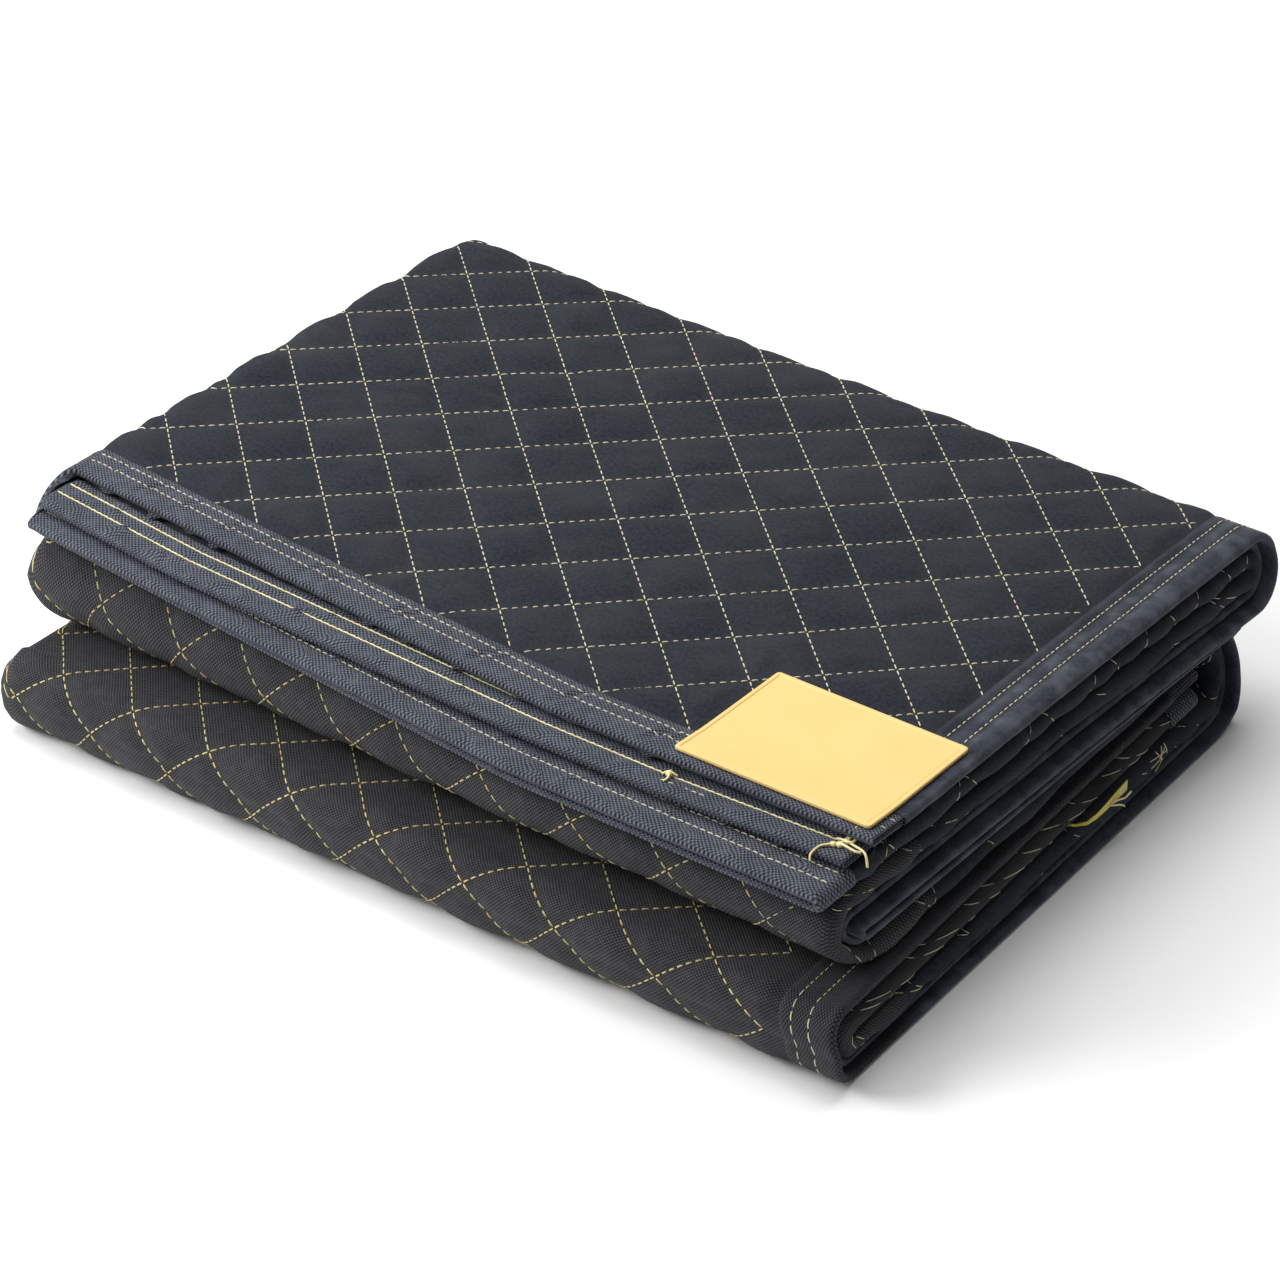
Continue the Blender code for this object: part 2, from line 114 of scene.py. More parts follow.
# Steps of the pile's ends by level, in millimetres: right end's front and back, and left end
END_STEP = np.array((
    (0, -6, 4, 4),
    (10, -9, 4, 6),
    (24, -9, 8, 7),
    (47, -4, 14, 8),
    (60, 0, 6, 3),
    (71, 2, -3, 0),
    (100, 2, 2, 0),
    (121, 0, 3, 0),
)) * MM
RIGHT_FRONT, RIGHT_BACK, LEFT_END = 1, 2, 3
SWELL_LEFT = 1.08
SWELL_RIGHT_FRONT = 1.0
SWELL_RIGHT_BACK = 0.94
LEAN_FADE = (-148 * MM, 6.2 * MM)
LEAN_RIGHT = 76.7 * MM
RIGHT_FADE = (131.3 * MM, 240 * MM)
LEFT_FADE = (-240 * MM, -140 * MM)
SAG = 2.6 * MM                  # how deep the middle of the top's back sags
SAG_RIPPLE = 0.3                # a ripple over it, as a share
SAG_RATES = (7.0, 12.0, 6.0)    # the ripple's waves along x and y, and the sag's along x, per metre
SAG_PHASES = (0.8, 0.5)
PILE_MIDDLE = (6.8 * MM, -20.5 * MM)
FLOOR_LIFT = PLY / 2 - BINDING_OUTER
TOP_OF_PILE = 20 * PLY

# The label and the ribbon
LABEL_SIZE = (108 * MM, 85 * MM)
LABEL_MIDDLE = (199 * MM, -132.5 * MM)
LABEL_THICK = 1.6 * MM
LABEL_CORNER, LEAST_CORNER = 2.2 * MM, 0.4 * MM
LABEL_ARC = 6
LABEL_CLEAR = 6 * MM            # the padding lies flat this far round it

# Camera: the photograph's angle on the middle of the pile
CAMERA_AZIMUTH = math.radians(36.45)
CAMERA_ELEVATION = math.radians(31.51)
CAMERA_DISTANCE = 2.2
CAMERA_TARGET = (0.0173, -0.0198, 0.065)
CAMERA_LENS = 123.7

FACE_A, FACE_B = 1, -1          # outer and inner face of the flat blanket


class Path:
    """A plane curve of straight and round stretches, read by its length."""

    def __init__(self, start, heading, pieces):
        self.pieces = []
        self.length = 0.0
        x, y = start
        for size, turn in pieces:
            run = size * abs(turn) if turn else size
            self.pieces.append((self.length, run, x, y, heading, size, turn))
            x, y, heading = (float(v) for v in self.inside(self.pieces[-1], np.array(run)))
            self.length += run

    @staticmethod
    def inside(piece, along):
        _, run, x, y, heading, size, turn = piece
        if not turn:
            return x + along * math.cos(heading), y + along * math.sin(heading), heading + 0 * along
        side = math.copysign(1.0, turn)
        new = heading + side * along / size
        centre_x = x - side * size * math.sin(heading)
        centre_y = y + side * size * math.cos(heading)
        return centre_x + side * size * np.sin(new), centre_y - side * size * np.cos(new), new

    def at(self, distance):
        """Places and headings at distances, going straight on past both ends."""
        starts = [piece[0] for piece in self.pieces]
        index = np.clip(np.searchsorted(starts, distance, side="right") - 1, 0, len(starts) - 1)
        found = [np.zeros_like(distance) for _ in range(3)]
        for number, piece in enumerate(self.pieces):
            here = index == number
            for whole, part in zip(found, self.inside(piece, distance[here] - piece[0])):
                whole[here] = part
        return found

    def ends(self):
        return [(start, start + run) for start, run, *_ in self.pieces]


STRIP = Path((END_PLY_1, 1.5 * PLY), math.pi, (
    (END_PLY_1 - STRIP_LEFT, 0),
    (1.5 * PLY, HALF_TURN),
    (STRIP_RIGHT - STRIP_LEFT, 0),
    (0.5 * PLY, HALF_TURN),
    (STRIP_RIGHT - STRIP_LEFT, 0),
    (0.5 * PLY, -HALF_TURN),
    (END_PLY_2 - STRIP_LEFT, 0),
))
RUNS = Path((FRONT_EDGE, RUN_1 * PLY), 0.0, (
    (UPPER_BACK_FOLD - FRONT_EDGE, 0),
    ((RUN_1 - RUN_2) * PLY / 2, -HALF_TURN),
    (UPPER_BACK_FOLD - UPPER_FRONT_FOLD, 0),
    ((RUN_2 - RUN_3) * PLY / 2, HALF_TURN),
    (LOWER_BACK_FOLD - UPPER_FRONT_FOLD, 0),
    ((RUN_3 - RUN_5) * PLY / 2, -HALF_TURN),
    (LOWER_BACK_FOLD - LOWER_FRONT_FOLD, 0),
    ((RUN_4 - RUN_5) * PLY / 2, -HALF_TURN),
    (TUCKED_EDGE - LOWER_FRONT_FOLD, 0),
))
PLY_1, LEFT_FOLD, PLY_2, RIGHT_FOLD, PLY_3, INNER_FOLD, PLY_4 = range(7)
FIRST, BACK_FOLD, SECOND, FRONT_FOLD, THIRD, LOW_BACK, FIFTH, LOW_FRONT, FOURTH = range(9)
STRIP_ENDS, RUN_ENDS = STRIP.ends(), RUNS.ends()
PLY_1_END, LEFT_FOLD_END = STRIP_ENDS[LEFT_FOLD]
FIRST_END = RUN_ENDS[FIRST][1]
SLIP_AT = (PLY_1_END, LEFT_FOLD_END, STRIP_ENDS[PLY_2][1])
SLIP_ALONG = (0, 12.4 * MM, 25.4 * MM)
SLIP_ACROSS = (0, 8.4 * MM, 15.8 * MM)
SIGHT = (math.sin(CAMERA_AZIMUTH), math.cos(CAMERA_AZIMUTH))


def between(low, high, value):
    """Straight rise from 0 at low to 1 at high."""
    return np.clip((value - low) / (high - low), 0.0, 1.0)


def lean_value(level, column):
    """A column of the lean's table at a level."""
    return np.interp(level, FRONT_LEAN[:, LEVEL], FRONT_LEAN[:, column])


def left_out(x, level):
    """How far the front moves out at the left end, evenly round the first run's fold."""
    out = lean_value(level, OUT_LEFT)
    low, high = (lean_value(value, OUT_LEFT) for value in FIRST_RUN_LEVELS)
    even = low + (high - low) * between(*FIRST_RUN_LEVELS, level)
    turned = between(0.0, LEFT_ROUND, STRIP_LEFT - x) * (level > FIRST_RUN_LEVELS[0])
    return out + (even - out) * turned


def top_edge(x, y, level):
    """How much a place belongs to the top's front edge, 0 to 1."""
    turned = between(0.0, LEFT_ROUND, STRIP_LEFT - x)
    share = between(*DRAWN_LEVELS, level)
    share = share + (between(*FIRST_RUN_LEVELS, level) - share) * turned
    return share * (1 - between(FRONT_EDGE, FRONT_EDGE + BINDING_WIDTH, y))


def swell(right, back):
    """How much higher than the neat pile it stands, from its left to its right."""
    right_swell = SWELL_RIGHT_FRONT + back * (SWELL_RIGHT_BACK - SWELL_RIGHT_FRONT)
    return SWELL_LEFT + right * (right_swell - SWELL_LEFT)


def as_it_lies(x, y, z):
    """Lean, step and sag of the pile at places of the neat pile."""
    z = z - FLOOR_LIFT
    level = np.maximum(z, 0.0)
    right = (x - STRIP_LEFT) / (STRIP_RIGHT - STRIP_LEFT)
    back = (y - FRONT_EDGE) / (UPPER_BACK_FOLD - FRONT_EDGE)
    front = 1 - between(*LEAN_FADE, y)
    ends = lambda column: np.interp(level, END_STEP[:, LEVEL], END_STEP[:, column])
    lean = between(STRIP_LEFT, LEAN_RIGHT, x)
    out = (1 - lean) * left_out(x, level) + lean * lean_value(level, OUT_RIGHT)
    high = (1 - lean) * lean_value(level, HIGH_LEFT) + lean * lean_value(level, HIGH_RIGHT)
    step = ((1 - back) * ends(RIGHT_FRONT) + back * ends(RIGHT_BACK)) * between(*RIGHT_FADE, x)
    step -= ends(LEFT_END) * (1 - between(*LEFT_FADE, x))
    rate_x, rate_y, rate_back = SAG_RATES
    dip = SAG_RIPPLE * np.sin(rate_x * x + SAG_PHASES[0]) * np.sin(rate_y * y + SAG_PHASES[1])
    dip -= back * np.cos(rate_back * x)
    lift = SAG * dip * (level / TOP_OF_PILE) ** 2
    height = (level + (high - level) * front) * swell(right, back)
    edge = top_edge(x, y, level)
    lift = lift + edge * np.interp(x, DRAWN_AT, RAISED)
    out = out * front - edge * np.interp(x, DRAWN_AT, DRAWN)
    out = out + front ** 2 * np.interp(x, PUSHED_AT, PUSHED) * np.interp(level, PUSHED_LEVELS, PUSHED_SHARE)
    return np.stack((x - step - PILE_MIDDLE[0], y - out - PILE_MIDDLE[1], height + lift), -1)


def fold(along, across, off):
    """Folded places of points of the flat blanket; off is from the cloth's middle, towards face A."""
    along, across, off = np.broadcast_arrays(*(np.asarray(v, float) for v in (along, across, off)))
    x, height, heading = STRIP.at(along)
    x = x + off * np.sin(heading)
    height = height - off * np.cos(heading)
    y, z, heading = RUNS.at(across)
    return as_it_lies(x, y - height * np.sin(heading), z + height * np.cos(heading))


def true_across(along, across):
    """Distance from the front edge along the cloth itself, which is longer outside a fold."""
    _, height, _ = STRIP.at(np.asarray(along, float))
    _, _, heading = RUNS.at(np.asarray(across, float))
    return across - height * heading


def top_out(along):
    """How far the lean moves the top's front edge out; it fades round the left fold."""
    lean = between(STRIP_LEFT, LEAN_RIGHT, END_PLY_1 - along)
    out = (1 - lean) * FRONT_LEAN[-1, OUT_LEFT] + lean * FRONT_LEAN[-1, OUT_RIGHT]
    return out * (1 - between(PLY_1_END, LEFT_FOLD_END, along))


def slip(along):
    """How far the quilting has slipped along and across, past the left fold."""
    return [np.interp(along, SLIP_AT, values) for values in (SLIP_ALONG, SLIP_ACROSS)]


def seam_shift(along, across):
    """Shift of the seams, x and y, where the top stands above or below its mean height.

    Their places were taken from a level top, along the photograph's line of sight.
    """
    right = between(STRIP_LEFT, STRIP_RIGHT, END_PLY_1 - along)
    back = between(0.0, FIRST_END, across)
    rise = (swell(right, back) - 1) * TOP_OF_PILE * (1 - between(*RUN_ENDS[SECOND], across))
    away = rise / math.tan(CAMERA_ELEVATION)
    return SIGHT[0] * away, -SIGHT[1] * away


def lattice(along, across):
    """Place in the quilting, counted in steps m and n from a crossing."""
    slip_along, slip_across = slip(along)
    shift_x, shift_y = seam_shift(along, across)
    y = FRONT_EDGE + true_across(along, across)
    shift = (across < FIRST_END) * top_out(along) * (1 - between(*LEAN_FADE, y))
    u = END_PLY_1 - (along - slip_along) - shift_x - CROSSING[0]
    v = y - shift - slip_across - shift_y - CROSSING[1]
    size = STEP_M[0] * STEP_N[1] - STEP_M[1] * STEP_N[0]
    return (STEP_N[1] * u - STEP_N[0] * v) / size, (STEP_M[0] * v - STEP_M[1] * u) / size


def waves(seed, count, shortest, longest):
    """Random waves for unevenness, each as its rates along x and y and its phase."""
    draw = np.random.default_rng(seed)
    angle = draw.uniform(0, 2 * math.pi, count)
    length = draw.uniform(shortest, longest, count)
    return [(2 * math.pi * math.cos(a) / s, 2 * math.pi * math.sin(a) / s, p)
            for a, s, p in zip(angle, length, draw.uniform(0, 2 * math.pi, count))]


def ripple(table, x, y):
    """Sum of the random waves at places, about -1 to 1."""
    return sum(np.sin(kx * x + ky * y + phase) for kx, ky, phase in table) / math.sqrt(len(table))


SLOW = waves(seed=3, count=7, shortest=40 * MM, longest=110 * MM)
QUICK = waves(seed=8, count=9, shortest=11 * MM, longest=26 * MM)
SLOW_SHARE = 0.25               # how much the slow waves vary the diamonds
QUICK_RISE = 0.12 * MM

# Creases pressed into the top: middle x and y, direction in degrees, length,
# half width and depth, all in millimetres; a negative depth is a ridge.
CREASES = np.array((
    (-105, 85, 20, 70, 4.0, 0.9),
    (-118, 70, 35, 60, 3.0, -0.7),
    (-140, 35, 28, 75, 4.0, 0.8),
    (-80, 20, 40, 55, 3.5, 0.7),
    (-60, 60, 15, 45, 3.0, -0.5),
    (-170, -20, 55, 50, 4.0, 0.7),
    (40, 90, 150, 60, 4.0, 0.6),
    (110, 30, 130, 50, 3.5, 0.5),
))
CREASE_BEND, CREASE_BEND_LENGTH = 2.0, 11.0     # a crease snakes this far, over this length


def creases(x, y):
    """Rise and fall of the pressed creases at places of the top."""
    total = 0.0
    for middle_x, middle_y, angle, length, width, depth in CREASES:
        turn = math.radians(angle)
        dx, dy = x / MM - middle_x, y / MM - middle_y
        down = dx * math.cos(turn) + dy * math.sin(turn)
        side = dy * math.cos(turn) - dx * math.sin(turn)
        side = side + CREASE_BEND * np.sin(down / CREASE_BEND_LENGTH)
        total = total - depth * MM * np.exp(-(2 * down / length) ** 4 - (side / width) ** 2)
    return total


def quilting(along, across):
    """Rise of the padded diamonds on the outer face, 0 along their seams."""
    m, n = lattice(along, across)
    rise = 1.0
    for place in ((m + n) / 2, (m - n) / 2):
        away = SEAM_SPACING * np.abs(place - np.round(place))
        rise = rise * (1 - np.exp(-(away / CHANNEL) ** 2))
    crown = np.abs(np.sin(math.pi * (m + n) / 2) * np.sin(math.pi * (m - n) / 2))
    return (1 + TOP_FULLNESS * on_free_top(along, across)) * (PILLOW * rise + CROWN * crown)


def on_free_top(along, across):
    return (along < PLY_1_END) & (across < FIRST_END)


def off_label(along, across):
    """How far places of the top are outside the label, and less than 0 under it."""
    x, y = END_PLY_1 - along, FRONT_EDGE + across
    return np.maximum(np.abs(x - LABEL_MIDDLE[0]) - LABEL_SIZE[0] / 2,
                      np.abs(y - LABEL_MIDDLE[1]) - LABEL_SIZE[1] / 2)


def relief(along, across):
    """Rise of face A over the cloth's own thickness."""
    x, y = END_PLY_1 - along, FRONT_EDGE + across
    flat = true_across(along, across)
    found = quilting(along, across)
    uneven = 1 + SLOW_SHARE * ripple(SLOW, x, flat)
    found = found * uneven + QUICK_RISE * ripple(QUICK, x, flat) * between(0, 1 * MM, found)
    on_top = on_free_top(along, across)
    found = found + on_top * creases(x, y)
    covered = on_top * (1 - between(LABEL_CLEAR, 2 * LABEL_CLEAR, off_label(along, across)))
    on_floor = (along < PLY_1_END) & (across > RUN_ENDS[FIFTH][0]) & (across < RUN_ENDS[FIFTH][1])
    inside = (across > RUN_ENDS[LOW_FRONT][1]) | (along > STRIP_ENDS[RIGHT_FOLD][1])
    return found * (1 - covered) * ~on_floor * ~inside


def half_cloth(along, across):
    """Half the cloth's thickness, which the binding squeezes at the edges."""
    edge = np.minimum(np.minimum(along, STRIP.length - along), np.minimum(across, RUNS.length - across))
    full = between(BINDING_WIDTH, BINDING_WIDTH + BINDING_FADE, edge)
    return (CLOTH_EDGE + full * (CLOTH - CLOTH_EDGE)) / 2, full


def cloth_face(along, across, face, lift=0.0):
    """Places on a face of the cloth, lifted off it."""
    half, full = half_cloth(along, across)
    rise = full * relief(along, across) if face == FACE_A else 0.0
    return fold(along, across, face * (half + rise + lift))


# Mesh making

def grid_faces(columns, rows, start=0, flip=False, closed=False):
    """Quads over a grid of points; closed joins the last row to the first."""
    i, j = np.meshgrid(np.arange(columns - 1), np.arange(rows if closed else rows - 1), indexing="ij")
    a = start + i * rows + j
    b = start + i * rows + (j + 1) % rows
    quads = np.stack((a, a + rows, b + rows, b), -1).reshape(-1, 4)
    return (quads[:, ::-1] if flip else quads).tolist()


def closed_faces(columns, size):
    """Faces of a tube of rings, each of size points, with both its ends closed."""
    last = (columns - 1) * size
    caps = [list(range(size)), [last + k for k in reversed(range(size))]]
    return grid_faces(columns, size, closed=True) + caps


def add_piece(name, points, faces, material, flat=None):
    """A shown piece that rides on the blanket's one body."""
    mesh = bpy.data.meshes.new(name)
    mesh.from_pydata(np.asarray(points).tolist(), [], faces)
    shape = bmesh.new()
    shape.from_mesh(mesh)
    bmesh.ops.recalc_face_normals(shape, faces=shape.faces)
    shape.to_mesh(mesh)
    shape.free()
    if flat is not None:
        layer = mesh.uv_layers.new(name="flat")
        corner = np.zeros(len(mesh.loops), dtype=np.int32)
        mesh.loops.foreach_get("vertex_index", corner)
        layer.data.foreach_set("uv", np.asarray(flat, np.float32)[corner].ravel())
    mesh.polygons.foreach_set("use_smooth", [True] * len(mesh.polygons))
    mesh.materials.append(material)
    thing = bpy.data.objects.new(name, mesh)
    bpy.context.scene.collection.objects.link(thing)
    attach(thing, "root")
    return thing


def second_material(piece, material, chosen):
    """Another material for those of the first faces that are chosen."""
    piece.data.materials.append(material)
    index = np.zeros(len(piece.data.polygons), dtype=np.int32)
    index[:len(chosen)] = chosen
    piece.data.polygons.foreach_set("material_index", index)


def spread(low, high, pitch):
    """Even distances from low up to high, without high."""
    count = max(1, int(math.ceil((high - low) / pitch)))
    return [low + (high - low) * i / count for i in range(count)]


# Materials

class Finish:
    """A material made of nodes around one Principled shader."""

    def __init__(self, name, roughness, flat=True, sheen=0.0, sheen_roughness=0.5, coat=0.0, shine=0.5):
        self.material = bpy.data.materials.new(name)
        self.material.use_nodes = True
        self.tree = self.material.node_tree
        self.shader = self.tree.nodes["Principled BSDF"]
        for key, value in (("Roughness", roughness), ("Sheen Weight", sheen), ("Coat Weight", coat),
                           ("Sheen Roughness", sheen_roughness), ("Specular IOR Level", shine)):
            self.shader.inputs[key].default_value = value
        # In metres: on the flat cloth, or in the object's own space
        if flat:
            self.where = self.node("ShaderNodeUVMap", uv_map="flat").outputs["UV"]
        else:
            self.where = self.node("ShaderNodeTexCoord").outputs["Object"]

    def node(self, kind, inputs=(), **settings):
        node = self.tree.nodes.new(kind)
        for key, value in settings.items():
            setattr(node, key, value)
        for key, value in dict(inputs).items():
            if isinstance(value, bpy.types.NodeSocket):
                self.tree.links.new(value, node.inputs[key])
            else:
                node.inputs[key].default_value = value
        return node

    def math(self, operation, a, b=0.0):
        return self.node("ShaderNodeMath", {0: a, 1: b}, operation=operation).outputs[0]

    def noise(self, size, detail=4.0, roughness=0.55):
        """Noise from 0 to 1 whose blotches are about size across."""
        return self.node("ShaderNodeTexNoise", {"Vector": self.where, "Scale": 1 / size, "Detail": detail,
                                                "Roughness": roughness}).outputs["Fac"]

    def axis(self, name):
        return self.node("ShaderNodeSeparateXYZ", {"Vector": self.where}).outputs[name]

    def ramp(self, value, low, high, start=0.0, end=1.0):
        return self.node("ShaderNodeMapRange", {"Value": value, "From Min": low, "From Max": high,
                                                "To Min": start, "To Max": end}).outputs["Result"]

    def mix(self, part, first, second):
        node = self.node("ShaderNodeMix", {"Factor": part}, data_type="RGBA")
        for socket, colour in (("A", first), ("B", second)):
            target = next(s for s in node.inputs if s.name == socket and s.type == "RGBA")
            if isinstance(colour, bpy.types.NodeSocket):
                self.tree.links.new(colour, target)
            else:
                target.default_value = (*colour, 1)
        return next(s for s in node.outputs if s.type == "RGBA")

    def weave(self, pitch):
        """Plain weave: rises where one thread crosses over the other."""
        over, under = (self.math("SINE", self.math("MULTIPLY", self.axis(axis), math.pi / pitch))
                       for axis in "XY")
        return self.math("MULTIPLY", over, under)

    def paint(self, first, *layers):
        """Base colour: first, then layers of (value, low, high, share, colour), each over the last."""
        shade = first
        for value, low, high, share, colour in layers:
            shade = self.mix(self.ramp(value, low, high, 0.0, share), shade, colour)
        self.tree.links.new(shade, self.shader.inputs["Base Color"])

    def bump(self, height, distance, strength=1.0, before=None):
        inputs = {"Height": height, "Distance": distance, "Strength": strength}
        if before is not None:
            inputs["Normal"] = before
        socket = self.node("ShaderNodeBump", inputs).outputs["Normal"]
        self.tree.links.new(socket, self.shader.inputs["Normal"])
        return socket


def brushed_cloth():
    """The top's cloth: napped, faintly woven, and worn paler in patches."""
    deep, mid, pale = BRUSHED_SHADES
    finish = Finish("brushed_cloth", 0.9, sheen=0.05, sheen_roughness=0.5, shine=0.15)
    weave = finish.weave(BRUSHED_WEAVE)
    fuzz = finish.noise(2.2 * MM, 6.0, 0.7)
    worn = finish.noise(60 * MM, 5.0, 0.6)
    finish.paint(deep, (fuzz, 0.3, 0.7, 1.0, mid), (worn, 0.42, 0.75, 0.55, pale))
    finish.bump(weave, 0.12 * MM, 0.6, before=finish.bump(fuzz, 0.35 * MM, 0.7))
    return finish.material


def canvas_cloth(name, pitch, dark, light):
    """Plain-woven cloth, slubbed, and dark between its threads."""
    finish = Finish(name, 0.82, sheen=0.05, sheen_roughness=0.4, shine=0.25)
    weave = finish.weave(pitch)
    slub = finish.noise(6 * MM, 4.0)
    worn = finish.noise(45 * MM, 4.0)
    finish.paint(dark, (weave, -0.3, 0.9, 1.0, light), (slub, 0.45, 0.8, 0.35, light),
                 (worn, 0.45, 0.8, 0.4, dark))
    finish.bump(slub, 0.3 * MM, 0.3, before=finish.bump(weave, 0.3 * MM, 0.8))
    return finish.material


def smooth_binding():
    """The end hems' tape: napped, without a weave that shows, with painted shade beside its rows and along
    its inner edge.
    """
    deep, mid, pale, painted_groove_shade = TAPE_SHADES
    finish = Finish("napped_binding", 0.85, sheen=0.12, sheen_roughness=0.45, shine=0.2)
    nap = finish.noise(1.6 * MM, 5.0, 0.7)
    worn = finish.noise(14 * MM, 4.0)
    inwards = finish.axis("Y")
    layers = [(nap, 0.3, 0.7, 1.0, mid), (worn, 0.42, 0.62, 0.6, pale)]
    # Painted shade: the tape is darkened in the hollows beside each stitch row
    for row in STITCH_ROWS:
        away = finish.math("ABSOLUTE", finish.math("SUBTRACT", inwards, row))
        layers.append((away, 3.4 * MM, 0.6 * MM, 0.75, painted_groove_shade))
    # Painted shade along the inner edge, where the ridge stands up beside the cloth
    layers.append((inwards, BINDING_WIDTH - 5 * MM, BINDING_WIDTH - 1 * MM, 0.75, painted_groove_shade))
    finish.paint(deep, *layers)
    finish.bump(nap, 0.3 * MM, 0.5)
    return finish.material


def thread(name, pale, deep):
    """Sewing thread: mottled, with a fine twist."""
    finish = Finish(name, 0.55, flat=False, sheen=0.2)
    mottle = finish.noise(9 * MM, 3.0)
    twist = finish.noise(0.6 * MM, 2.0)
    finish.paint(pale, (mottle, 0.35, 0.65, 1.0, deep), (twist, 0.5, 0.8, 0.4, deep))
    finish.bump(twist, 0.2 * MM, 0.6)
    return finish.material


def moulded_rubber():
    """The label's rubber: nearly even, with a fine grain."""
    finish = Finish("moulded_rubber", 0.48, flat=False, coat=0.08)
    grain = finish.noise(0.8 * MM, 3.0)
    cloud = finish.noise(30 * MM, 3.0)
    finish.paint(RUBBER_SHADES[0], (cloud, 0.3, 0.75, 1.0, RUBBER_SHADES[1]))
    gloss = finish.ramp(grain, 0.3, 0.7, 0.42, 0.56)
    finish.tree.links.new(gloss, finish.shader.inputs["Roughness"])
    finish.bump(grain, 0.08 * MM, 0.4)
    return finish.material


def ribbon():
    """Satin ribbon with fine ribs."""
    finish = Finish("satin_ribbon", 0.45, flat=False, sheen=0.3)
    ribs = finish.weave(RIBBON_WEAVE)
    finish.paint(RIBBON_SHADES[0], (ribs, -0.5, 0.8, 1.0, RIBBON_SHADES[1]))
    finish.bump(ribs, 0.15 * MM, 0.6)
    return finish.material


# Shades are red, green and blue of light, from deep to pale
BRUSHED_SHADES = ((0.005, 0.0065, 0.010), (0.025, 0.029, 0.039), (0.035, 0.037, 0.043))
BRUSHED_WEAVE = 0.9 * MM
# The tape's fourth colour is painted shade, for the grooves beside its rows and its inner edge
TAPE_SHADES = ((0.010, 0.013, 0.020), (0.038, 0.044, 0.060), (0.080, 0.088, 0.112), (0.006, 0.008, 0.014))
RUBBER_SHADES = ((0.80, 0.54, 0.19), (0.82, 0.57, 0.215))
RIBBON_SHADES = ((0.50, 0.40, 0.02), (0.80, 0.66, 0.05))
RIBBON_WEAVE = 0.7 * MM

BRUSHED = brushed_cloth()
CANVAS = canvas_cloth("canvas_cloth", 1.0 * MM, (0.007, 0.0072, 0.009), (0.075, 0.075, 0.083))
BINDING = canvas_cloth("binding_canvas", 1.2 * MM, (0.008, 0.010, 0.016), (0.150, 0.165, 0.205))
END_BINDING = smooth_binding()
CORNER_BINDING = canvas_cloth("corner_binding", 0.8 * MM, (0.006, 0.0065, 0.009), (0.066, 0.068, 0.080))
CREAM_THREAD = thread("cream_thread", (0.62, 0.58, 0.42), (0.52, 0.46, 0.24))
YELLOW_THREAD = thread("yellow_thread", (0.66, 0.58, 0.24), (0.52, 0.42, 0.12))
PALE_THREAD = thread("pale_thread", (0.80, 0.72, 0.38), (0.66, 0.56, 0.24))
RUBBER = moulded_rubber()
RIBBON = ribbon()


# The cloth

TOP_PITCH = 3.5 * MM
HIDDEN_PITCH = 36 * MM
FACE_B_PITCH = 20 * MM
STRAIGHT = 0.1                  # a stretch longer than this is straight, and a shorter one is a fold
CANVAS_REACH = 45 * MM          # how far the canvas look goes back from a front fold


def cloth_lines(path, pitches):
    """Mesh lines on a path: pitches[i] is the spacing on piece i, or (low, spacing) stretches.

    Returns the lines of face A, and which of them face B uses.
    """
    lines, coarse = [], []
    for (start, end), stretches in zip(path.ends(), pitches):
        if not isinstance(stretches, tuple):
            stretches = ((0.0, stretches),)
        starts = [start + low * (end - start) for low, _ in stretches] + [end]
        for (_, pitch), low, high in zip(stretches, starts, starts[1:]):
            for index, value in enumerate(spread(low, high, pitch)):
                every = max(1, int(round(FACE_B_PITCH / pitch))) if end - start > STRAIGHT else 2
                lines.append(value)
                coarse.append(index % every == 0)
    lines.append(path.length)
    coarse.append(True)
    return np.array(lines), np.flatnonzero(coarse)


ALONG, ALONG_B = cloth_lines(STRIP, (
    TOP_PITCH, 2.8 * MM, 6 * MM, 1.6 * MM,
    ((0.0, 8 * MM), (0.1, HIDDEN_PITCH)), 1.6 * MM, ((0.0, HIDDEN_PITCH), (0.9, 8 * MM))))
ACROSS, ACROSS_B = cloth_lines(RUNS, (
    TOP_PITCH, 2.2 * MM, ((0.0, 5 * MM), (0.12, HIDDEN_PITCH), (0.75, 5 * MM)), 1.8 * MM,
    ((0.0, 5 * MM), (0.2, HIDDEN_PITCH), (0.85, 5 * MM)), 3.0 * MM,
    ((0.0, 6 * MM), (0.1, HIDDEN_PITCH), (0.8, 4 * MM)), 1.3 * MM,
    ((0.0, 4 * MM), (0.2, HIDDEN_PITCH), (0.93, 12 * MM))))


